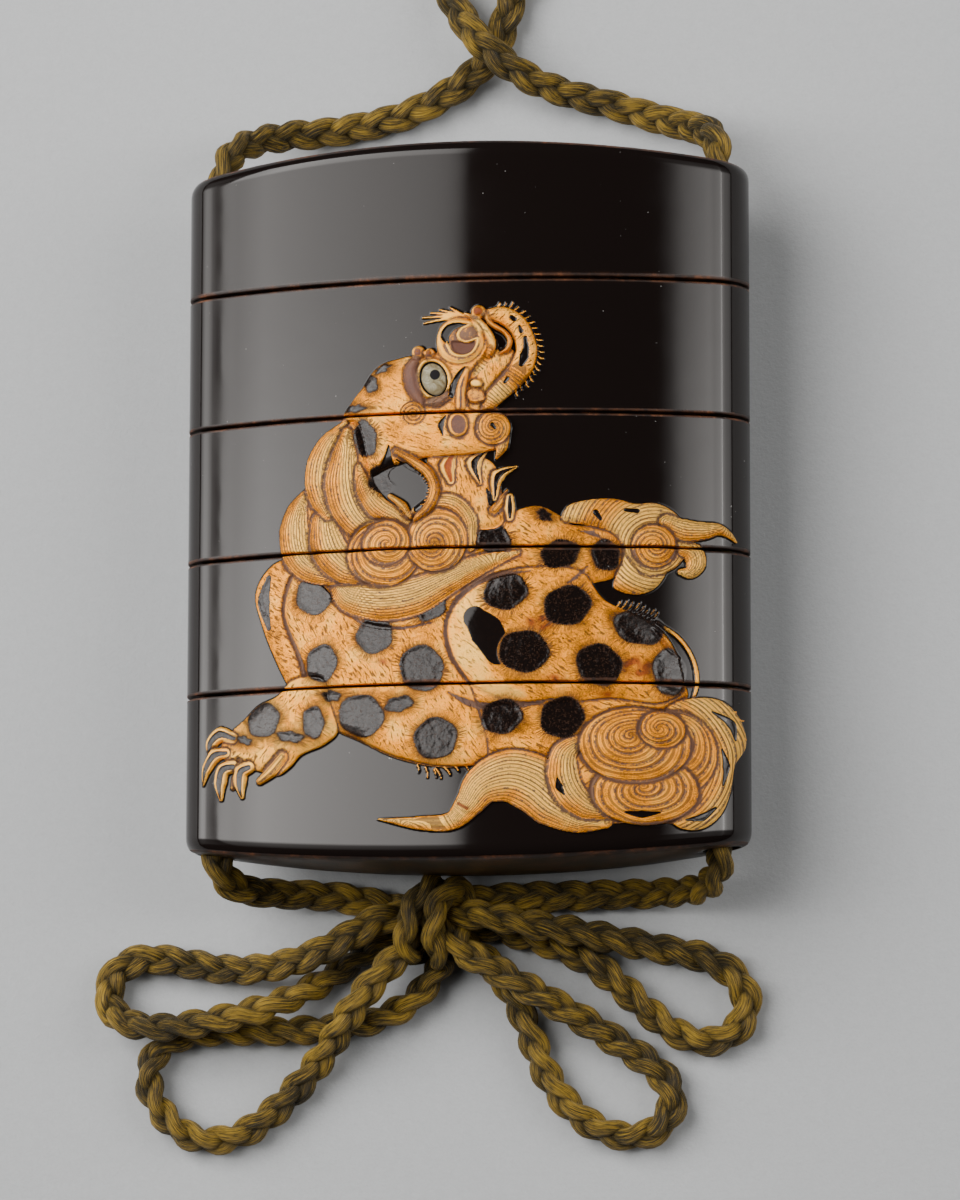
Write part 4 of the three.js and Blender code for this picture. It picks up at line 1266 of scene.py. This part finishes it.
class Finish(Nodes):
    """A material built round one Principled shader."""

    def __init__(self, name, **constants):
        self.material = bpy.data.materials.new(name)
        self.material.use_nodes = True
        super().__init__(self.material.node_tree, "Principled BSDF")
        self.set(**constants)

    def painted(self, *names):
        """Values painted on the mesh, one for each name."""
        found = [self.node("ShaderNodeAttribute", {"attribute_name": name}, {}, "Fac") for name in names]
        return found if len(found) > 1 else found[0]

    def place(self):
        """Places on the piece in millimetres."""
        metres = self.node("ShaderNodeTexCoord", {}, {}, "Object")
        return self.vector("SCALE", metres, Scale=1000.0)

    def vector(self, operation, *vectors, **named):
        return self.node("ShaderNodeVectorMath", {"operation": operation}, dict(enumerate(vectors)) | named)

    def noise(self, vector, scale, detail=3.0, roughness=0.55, distortion=0.0):
        inputs = {"Vector": vector, "Scale": scale, "Detail": detail, "Roughness": roughness}
        return self.node("ShaderNodeTexNoise", {}, inputs | {"Distortion": distortion})

    def mix(self, factor, a, b):
        settings = {"data_type": "RGBA", "blend_type": "MIX", "clamp_factor": True}
        return self.node("ShaderNodeMix", settings, {0: factor, 6: a, 7: b}, 2)

    def bump(self, height, distance, strength=1.0):
        inputs = {"Height": height, "Distance": distance, "Strength": strength}
        self.set(Normal=self.node("ShaderNodeBump", {}, inputs))


RUST = (0.23, 0.035, 0.012)
PALE_DUST = (0.3, 0.29, 0.27)
DARK_SHELL = (0.13, 0.09, 0.04)
LIGHT_SHELL = (0.4, 0.37, 0.26)
SHELL_RIM_SHADE = (0.15, 0.11, 0.055)
PUPIL = (0.008, 0.006, 0.006)


def tinted(colour, share):
    return tuple(min(1.0, value * share) for value in colour)


def engraved_hair(finish, place):
    """Long lines from the painted waves, broken here and there, with finer ones between some of them."""
    c, s = finish.painted("wave_c", "wave_s")
    wave = c / (c * c + s * s + 0.0004) ** 0.5
    gaps = finish.noise(place, 1.6, 4.0, 0.75)
    width = finish.noise(place, 0.5, 2.0)
    bold = (wave - (1.5 * gaps + 0.8 * width - 0.98)).between(-0.05, 0.35)
    double = 2 * wave * wave - 1
    fine = (double - (1.3 * gaps + 0.05)).between(-0.05, 0.3) * width.between(0.36, 0.52)
    return bold.most(fine * 0.7) * finish.painted("hair")


def fur_streaks(finish, place):
    """A noise drawn out into short streaks that lie along the painted direction."""
    c, s = finish.painted("flow_c", "flow_s")
    x, y = finish.parts(place)
    sway = finish.noise(place, 0.25, 2.0) * 3.0
    along, across = (x * c + y * s) * 0.9, (y * c - x * s) * 3.6 + sway
    lying = finish.node("ShaderNodeCombineXYZ", {}, {0: along, 1: across})
    return finish.noise(lying, 1.15, 2.0, 0.6)


def lacquer_finish(colours):
    """Black lacquer with powdered gold of several tones, engraved, rubbed and ruddy places; the rubbed mauve
    is also painted shade along creases and between raised shapes.
    """
    brown, body, pale = tuple(colours.engraved), tuple(colours.gold), tuple(colours.pale_gold)
    finish = Finish("lacquer_and_gold", IOR=1.345, Specular_Tint=(1.0, 0.965, 0.935, 1.0), Coat_Roughness=0.4)
    tone, drawn, fur, worn, ruddy, lip = finish.painted("tone", "line", "fur", "worn", "ruddy", "lip")
    place = finish.place()
    powder = finish.noise(place, 6.0, 4.0, 0.75)
    cloud = finish.noise(place, 0.45, 3.0)
    speck = finish.noise(place, 3.1, 2.0, 0.6)
    streaks = fur_streaks(finish, place)
    gold = (finish.painted("gold") + (streaks - 0.5) * fur.clipped() * 2.6).between(0.4, 0.6)
    hair = engraved_hair(finish, place)
    short = (streaks * (0.86 + 0.12 * fur)).between(0.53, 0.62) * fur
    line = (drawn.most(hair * 0.95)).most(short * 0.95).clipped()
    tone = tone + (powder - 0.52) * 1.4 + (cloud - 0.5) * 1.1 + finish.painted("hair") * 0.16
    bright = tuple(0.45 * a + 0.55 * b for a, b in zip(body, pale))
    leaf = finish.ramp(
        tone, (0.0, tinted(body, 0.16)), (0.25, tinted(body, 0.5)), (0.5, body), (0.78, bright), (1.0, pale),
    )
    # the rubbed mauve: real wear where the relief paints wear, painted shade along creases and the edges of
    # raised shapes
    rubbed_and_shaded = (worn + (speck - 0.5) * 1.3 + (powder - 0.5) * 1.0).between(0.42, 0.8)
    leaf = finish.mix(rubbed_and_shaded * 0.9, leaf, tuple(colours.rubbed_and_shaded))
    leaf = finish.mix((ruddy * 1.5).clipped() * 0.85, leaf, RUST)
    leaf = finish.mix(line * 0.88, leaf, brown)
    soot = worn.between(0.0, 0.6)
    dust = (speck * 0.4 + powder * 0.6).between(0.48, 0.64) * soot
    ground = finish.mix(dust * 0.5, tuple(colours.lacquer), tinted(brown, 0.6))
    patches = finish.noise(place, 0.35, 4.0, 0.6).between(0.42, 0.62)
    nicks = finish.noise(place, 1.6, 3.0, 0.7).between(0.5, 0.62)
    edge = lip.between(0.3, 1.0) * (0.15 + 0.85 * patches) * (0.4 + 0.6 * nicks)
    ground = finish.mix(edge * 0.42, ground, tuple(colours.worn_lip))
    specks = finish.noise(place, 2.3, 1.0, 0.5).between(0.8, 0.83)
    ground = finish.mix(specks * 0.5, ground, PALE_DUST)
    smear = finish.noise(place, 0.08, 3.0, 0.6).between(0.35, 0.75)
    polish = 0.06 + 0.05 * smear + 0.42 * lip.between(0.4, 0.9) + 0.3 * dust
    finish.set(
        Base_Color=finish.mix(gold, ground, leaf),
        Metallic=gold * (1 - line * 0.8) * (1 - rubbed_and_shaded * 0.7) * 0.92,
        Coat_Weight=gold * (1 - line) * 0.12,
        Roughness=polish * (1 - gold) + gold * (0.16 + 0.7 * powder),
    )
    relief = powder * (gold * 1.3 + soot * 0.12) + 0.25 * finish.noise(place, 0.12, 2.0) * (1 - gold)
    relief = relief + finish.noise(place, 1.1, 2.0, 0.5) * soot * (1 - gold) * 1.1
    finish.bump(relief - 1.6 * line * gold, 0.00007, 1.0)
    return finish.material


def silk_finish(colours):
    """Moss-coloured silk: fine threads that run along each strand, streaked between lit and shaded copies of
    the silk colour, and darkened as painted shade deep between the strands.
    """
    silk, shade = tuple(colours.silk), tuple(colours.silk_shade)
    finish = Finish("moss_silk", Roughness=0.55, Sheen_Weight=0.06, Sheen_Roughness=0.4,
                    Sheen_Tint=(0.9, 0.75, 0.3, 1.0), Specular_IOR_Level=0.3)
    x, y, z = finish.painted("thread_x", "thread_y", "thread_z")
    thread = finish.node("ShaderNodeCombineXYZ", {}, {0: x * 2.3, 1: y * 2.3, 2: z * 0.22})
    streaks = finish.noise(thread, 3.4, 4.0, 0.65)
    shifts = finish.noise(finish.place(), 0.16, 3.0)
    # painted light: the streaks run from shaded copies of the silk colour to a brighter lit copy
    stops = ((0.3, tinted(shade, 0.3)), (0.43, shade), (0.54, silk), (0.72, tinted(silk, 2.0)))
    colour = finish.ramp(streaks + (shifts - 0.5) * 0.5, *stops)
    # painted shade where the strands tuck deep into the plait
    finish.set(Base_Color=finish.mix(finish.painted("deep") * 0.92, colour, tinted(shade, 0.1)))
    finish.bump(streaks, 0.0006, 1.0)
    return finish.material


def shell_finish(colours):
    """Pale shell with a black pupil painted on it, darkened towards its rim as painted shade."""
    low, high = box_mm("eye_inlay")
    middle = (low + high) / 2
    finish = Finish("painted_shell", IOR=1.18)
    place = finish.place()
    pupil_place = (middle[0] + 0.15, middle[1] + 0.45, 0)
    level = finish.vector("MULTIPLY", place, (1, 1, 0))
    away = finish.vector("DISTANCE", level, pupil_place).beside("Value")
    cloud = finish.noise(place, 0.8, 4.0, 0.65, 1.0)
    shell = finish.ramp(cloud, (0.36, DARK_SHELL), (0.5, tuple(colours.shell)), (0.68, LIGHT_SHELL))
    pupil = 1 - away.between(0.5, 0.6)
    # painted shade: the shell grows darker from 0.8 mm off the pupil out to its rim
    shell = finish.mix(away.between(0.8, 2.2) * 0.85, shell, SHELL_RIM_SHADE)
    finish.set(Base_Color=finish.mix(pupil, shell, PUPIL), Roughness=0.22 + pupil * 0.3)
    return finish.material


def floor_finish(colours):
    finish = Finish("studio_floor", Roughness=0.6, Specular_IOR_Level=0.2)
    place = finish.place()
    grain, fleck = finish.noise(place, 0.9, 4.0, 0.7), finish.noise(place, 2.6, 3.0, 0.7)
    dark, light = tinted(colours.floor, 0.93), tinted(colours.floor, 1.05)
    finish.set(Base_Color=finish.ramp(grain * 0.5 + fleck * 0.5, (0.3, dark), (0.7, light)))
    finish.bump(grain + fleck, 0.0001, 0.5)
    return finish.material


def give(piece, material):
    piece.data.materials.clear()
    piece.data.materials.append(material)


# ---- Settings that a user can change -----------------------------------------------------------
def colour_property(name, description, default):
    return FloatVectorProperty(name=name, description=description, subtype="COLOR", size=3, min=0.0, max=1.0,
                               default=default)


def number_property(name, description, default, low=0.0, unit="NONE"):
    return FloatProperty(name=name, description=description, default=default, min=low, unit=unit)


class InroColours(bpy.types.PropertyGroup):
    lacquer: colour_property("Lacquer", "Black ground of the case", (0.006, 0.004, 0.0035))
    gold: colour_property("Gold", "Powdered gold of the body", (1.0, 0.345, 0.004))
    # the pale end of the gold's tones; along the middle of locks it is reached partly through painted
    # highlight
    pale_gold: colour_property("Pale gold", "Gold of crests, whiskers and claws", (1.0, 0.54, 0.095))
    # the same mauve is laid as painted shade along the creases and in the gaps between raised shapes
    rubbed_and_shaded: colour_property("Rubbed gold", "Mauve ground where gold is rubbed", (0.085, 0.056, 0.054))
    engraved: colour_property("Engraved line", "Dark bottom of the engraved lines", (0.07, 0.024, 0.008))
    worn_lip: colour_property("Worn lip", "Red-brown ground coat at worn edges", (0.26, 0.085, 0.028))
    silk: colour_property("Silk", "Lit threads of the cord", (0.25, 0.15, 0.014))
    silk_shade: colour_property("Silk shade", "Threads of the cord in its folds", (0.042, 0.026, 0.004))
    shell: colour_property("Shell", "Inlay of the eye", (0.24, 0.205, 0.12))
    floor: colour_property("Floor", "Table under the case", (0.385, 0.388, 0.388))


class InroLight(bpy.types.PropertyGroup):
    window: number_property("Window panel", "Strength of the large panel at the left", 2.15)
    fill: number_property("Fill panel", "Strength of the smaller panel at the right", 3.9)
    cards: number_property("Side cards", "Strength of the low cards at both sides", 4.6)
    lens: number_property("Lens", "Focal length of the camera", 170.1, low=20.0, unit="CAMERA")
    table: number_property("Floor size", "Width of the table", 3.0, low=0.5, unit="LENGTH")


# ---- Panels of light ---------------------------------------------------------------------------
GLOW_SCALE = 8.0


def grey_steps(*steps):
    """Stops of a grey ramp from places and brightnesses."""
    return tuple((place, (value / GLOW_SCALE,) * 3) for place, value in steps)


PANEL_LENGTH = 0.9
PANEL_Y = 0.15
WINDOW_GLOW = grey_steps((0.0, 4.6), (0.05, 4.8), (0.08, 4.5), (0.2, 5.9), (0.45, 4.8), (0.61, 4.2),
                         (0.77, 3.7), (0.87, 3.3), (0.92, 2.9), (0.955, 2.2), (1.0, 0.3))
FILL_GLOW = grey_steps((0.0, 0.0), (0.06, 0.3), (0.15, 1.4), (0.3, 2.4), (0.5, 2.1), (0.8, 2.4), (1.0, 3.2))
LEFT_GLOW = grey_steps((0.0, 0.5), (0.2, 1.4), (0.45, 2.2), (0.7, 2.2), (0.85, 1.3), (0.93, 0.4), (1.0, 0.1))
RIGHT_GLOW = grey_steps((0.0, 2.1), (0.15, 1.9), (0.4, 1.2), (0.7, 1.0), (1.0, 0.6))
WINDOW_LENGTH = grey_steps((0.0, 0.2), (0.24, 1.6), (0.34, 8.0), (0.4, 8.0), (0.5, 5.2), (0.56, 4.8),
                           (0.66, 8.0), (1.0, 8.0))
CARD_LENGTH = grey_steps((0.0, 0.4), (0.27, 0.8), (0.34, 8.0), (0.4, 8.0), (0.5, 5.2), (0.6, 4.0), (0.7, 0.8),
                         (1.0, 0.4))


# ---- Operators ---------------------------------------------------------------------------------
CAMERA_PLACE = (0.1131, -0.0894, 0.5998)
CAMERA_TURNS = (("X", 0.1347), ("Y", 0.1858), ("Z", -0.0233))


def add_cord(context, name, route, *nodes):
    """Braid one cord in silk, attach it to the root and hide the parts that it stands in for."""
    piece, path, length = make_plait(name, route)
    give(piece, silk_finish(context.scene.inro_colours))
    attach(piece, "root")
    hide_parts(*nodes)


class INRO_OT_camera(bpy.types.Operator):
    """Add the camera that looks down on the case"""

    bl_idname = "inro.camera"
    bl_label = "Camera"

    def execute(self, context):
        light = context.scene.inro_light
        data = bpy.data.cameras.new("view")
        data.sensor_width, data.lens = 36.0, light.lens
        data.clip_start, data.clip_end = 0.05, 20.0
        camera = bpy.data.objects.new("view", data)
        turned = Matrix.Identity(4)
        for axis, turn in CAMERA_TURNS:
            turned @= Matrix.Rotation(turn, 4, axis)
        camera.matrix_world = Matrix.Translation(CAMERA_PLACE) @ turned
        context.scene.collection.objects.link(camera)
        context.scene.camera = camera
        return {"FINISHED"}


class INRO_OT_cord(bpy.types.Operator):
    """Braid the cord that runs through the case and closes in a loop at its top"""

    bl_idname = "inro.cord"
    bl_label = "Silk cord"

    def execute(self, context):
        route = TIE_LEFT[::-1] + TOP_ROUTE + TIE_RIGHT
        ties = ("cord_tie_left", "cord_tie_right")
        add_cord(context, "silk_cord", route, "cord_top", "cord_runner_left", "cord_runner_right", *ties)
        return {"FINISHED"}


class INRO_OT_bow(bpy.types.Operator):
    """Braid the bow's four loops and the knot that ties them"""

    bl_idname = "inro.bow"
    bl_label = "Tied bow"

    def execute(self, context):
        loops = ("bow_loop_1", "bow_loop_2", "bow_loop_3", "bow_loop_4")
        add_cord(context, "tied_bow", BOW_ROUTE, "bow_knot", *loops)
        return {"FINISHED"}


class INRO_OT_sections(bpy.types.Operator):
    """Build the lid and the four boxes with the raised gold figure across them"""

    bl_idname = "inro.sections"
    bl_label = "Lacquer sections"

    def execute(self, context):
        material = lacquer_finish(context.scene.inro_colours)
        for name in SECTIONS:
            piece = make_section(name)
            give(piece, material)
            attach(piece, "root")
            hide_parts(name)
        return {"FINISHED"}


class INRO_OT_eye(bpy.types.Operator):
    """Set the shell eye in the figure's head"""

    bl_idname = "inro.eye"
    bl_label = "Shell eye"

    def execute(self, context):
        piece = make_shell_eye()
        give(piece, shell_finish(context.scene.inro_colours))
        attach(piece, "root")
        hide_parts("eye_inlay")
        return {"FINISHED"}


class INRO_OT_stage(bpy.types.Operator):
    """Add the plain floor and the soft studio lights"""

    bl_idname = "inro.stage"
    bl_label = "Floor and lights"

    def execute(self, context):
        light = context.scene.inro_light
        half = light.table / 2 / MM
        floor = Skin()
        corners = floor.ring([(-half, -half, 0), (half, -half, 0), (half, half, 0), (-half, half, 0)])
        floor.quads.append(corners[None, :])
        table = floor.make("floor", smooth_faces=False)
        give(table, floor_finish(context.scene.inro_colours))
        for name, x, z, wide, strength, glow, length_glow in (
            ("window_panel", -0.38, 0.583, 0.684, light.window, WINDOW_GLOW, WINDOW_LENGTH),
            ("fill_panel", 0.52, 0.47, 0.43, light.fill, FILL_GLOW, CARD_LENGTH),
            ("left_card", -0.82, 0.26, 0.42, light.cards, LEFT_GLOW, CARD_LENGTH),
            ("right_card", 0.83, 0.22, 0.36, light.cards, RIGHT_GLOW, CARD_LENGTH),
        ):
            self.panel(context, name, Vector((x, PANEL_Y, z)), wide, strength, glow, length_glow)
        world = bpy.data.worlds.new("dim_room")
        world.use_nodes = True
        Nodes(world.node_tree, "Background").set(Color=(0.9, 0.95, 1.0), Strength=0.02)
        context.scene.world = world
        return {"FINISHED"}

    def panel(self, context, name, place, wide, strength, glow, length_glow):
        """A soft panel that faces the case: its brightness from left to right, and along the case."""
        data = bpy.data.lights.new(name, "AREA")
        data.shape, data.size, data.size_y = "RECTANGLE", wide, PANEL_LENGTH
        data.energy = math.pi * wide * PANEL_LENGTH * strength
        data.use_nodes = True
        nodes = Nodes(data.node_tree, "Emission")
        across, down = nodes.parts(nodes.node("ShaderNodeNewGeometry", {}, {}, "Parametric"))
        nodes.set(Strength=nodes.ramp(across, *glow) * nodes.ramp(down, *length_glow) * GLOW_SCALE)
        lamp = bpy.data.objects.new(name, data)
        away, up = Vector((place.x, 0, place.z)).normalized(), Vector((0, 1, 0))
        facing = Matrix((up.cross(away), up, away)).transposed().to_4x4()
        lamp.matrix_world = Matrix.Translation(place) @ facing
        context.scene.collection.objects.link(lamp)


OPERATORS = (INRO_OT_camera, INRO_OT_cord, INRO_OT_bow, INRO_OT_sections, INRO_OT_eye, INRO_OT_stage)


class INRO_PT_panel(bpy.types.Panel):
    bl_idname = "INRO_PT_panel"
    bl_label = "Inro case"
    bl_space_type = "VIEW_3D"
    bl_region_type = "UI"
    bl_category = "Inro"

    def draw(self, context):
        for group in (context.scene.inro_colours, context.scene.inro_light):
            box = self.layout.box()
            for name in group.bl_rna.properties.keys():
                if name not in ("rna_type", "name"):
                    box.prop(group, name)
        for operator in OPERATORS:
            self.layout.operator(operator.bl_idname)


CLASSES = (InroColours, InroLight, *OPERATORS, INRO_PT_panel)


def register():
    for cls in CLASSES:
        bpy.utils.register_class(cls)
    bpy.types.Scene.inro_colours = PointerProperty(type=InroColours)
    bpy.types.Scene.inro_light = PointerProperty(type=InroLight)


def unregister():
    del bpy.types.Scene.inro_colours
    del bpy.types.Scene.inro_light
    for cls in reversed(CLASSES):
        bpy.utils.unregister_class(cls)


def main():
    register()
    bpy.ops.inro.camera()
    bpy.ops.inro.cord()
    bpy.ops.inro.bow()
    bpy.ops.inro.sections()
    bpy.ops.inro.eye()
    bpy.ops.inro.stage()


if __name__ == "__main__":
    main()
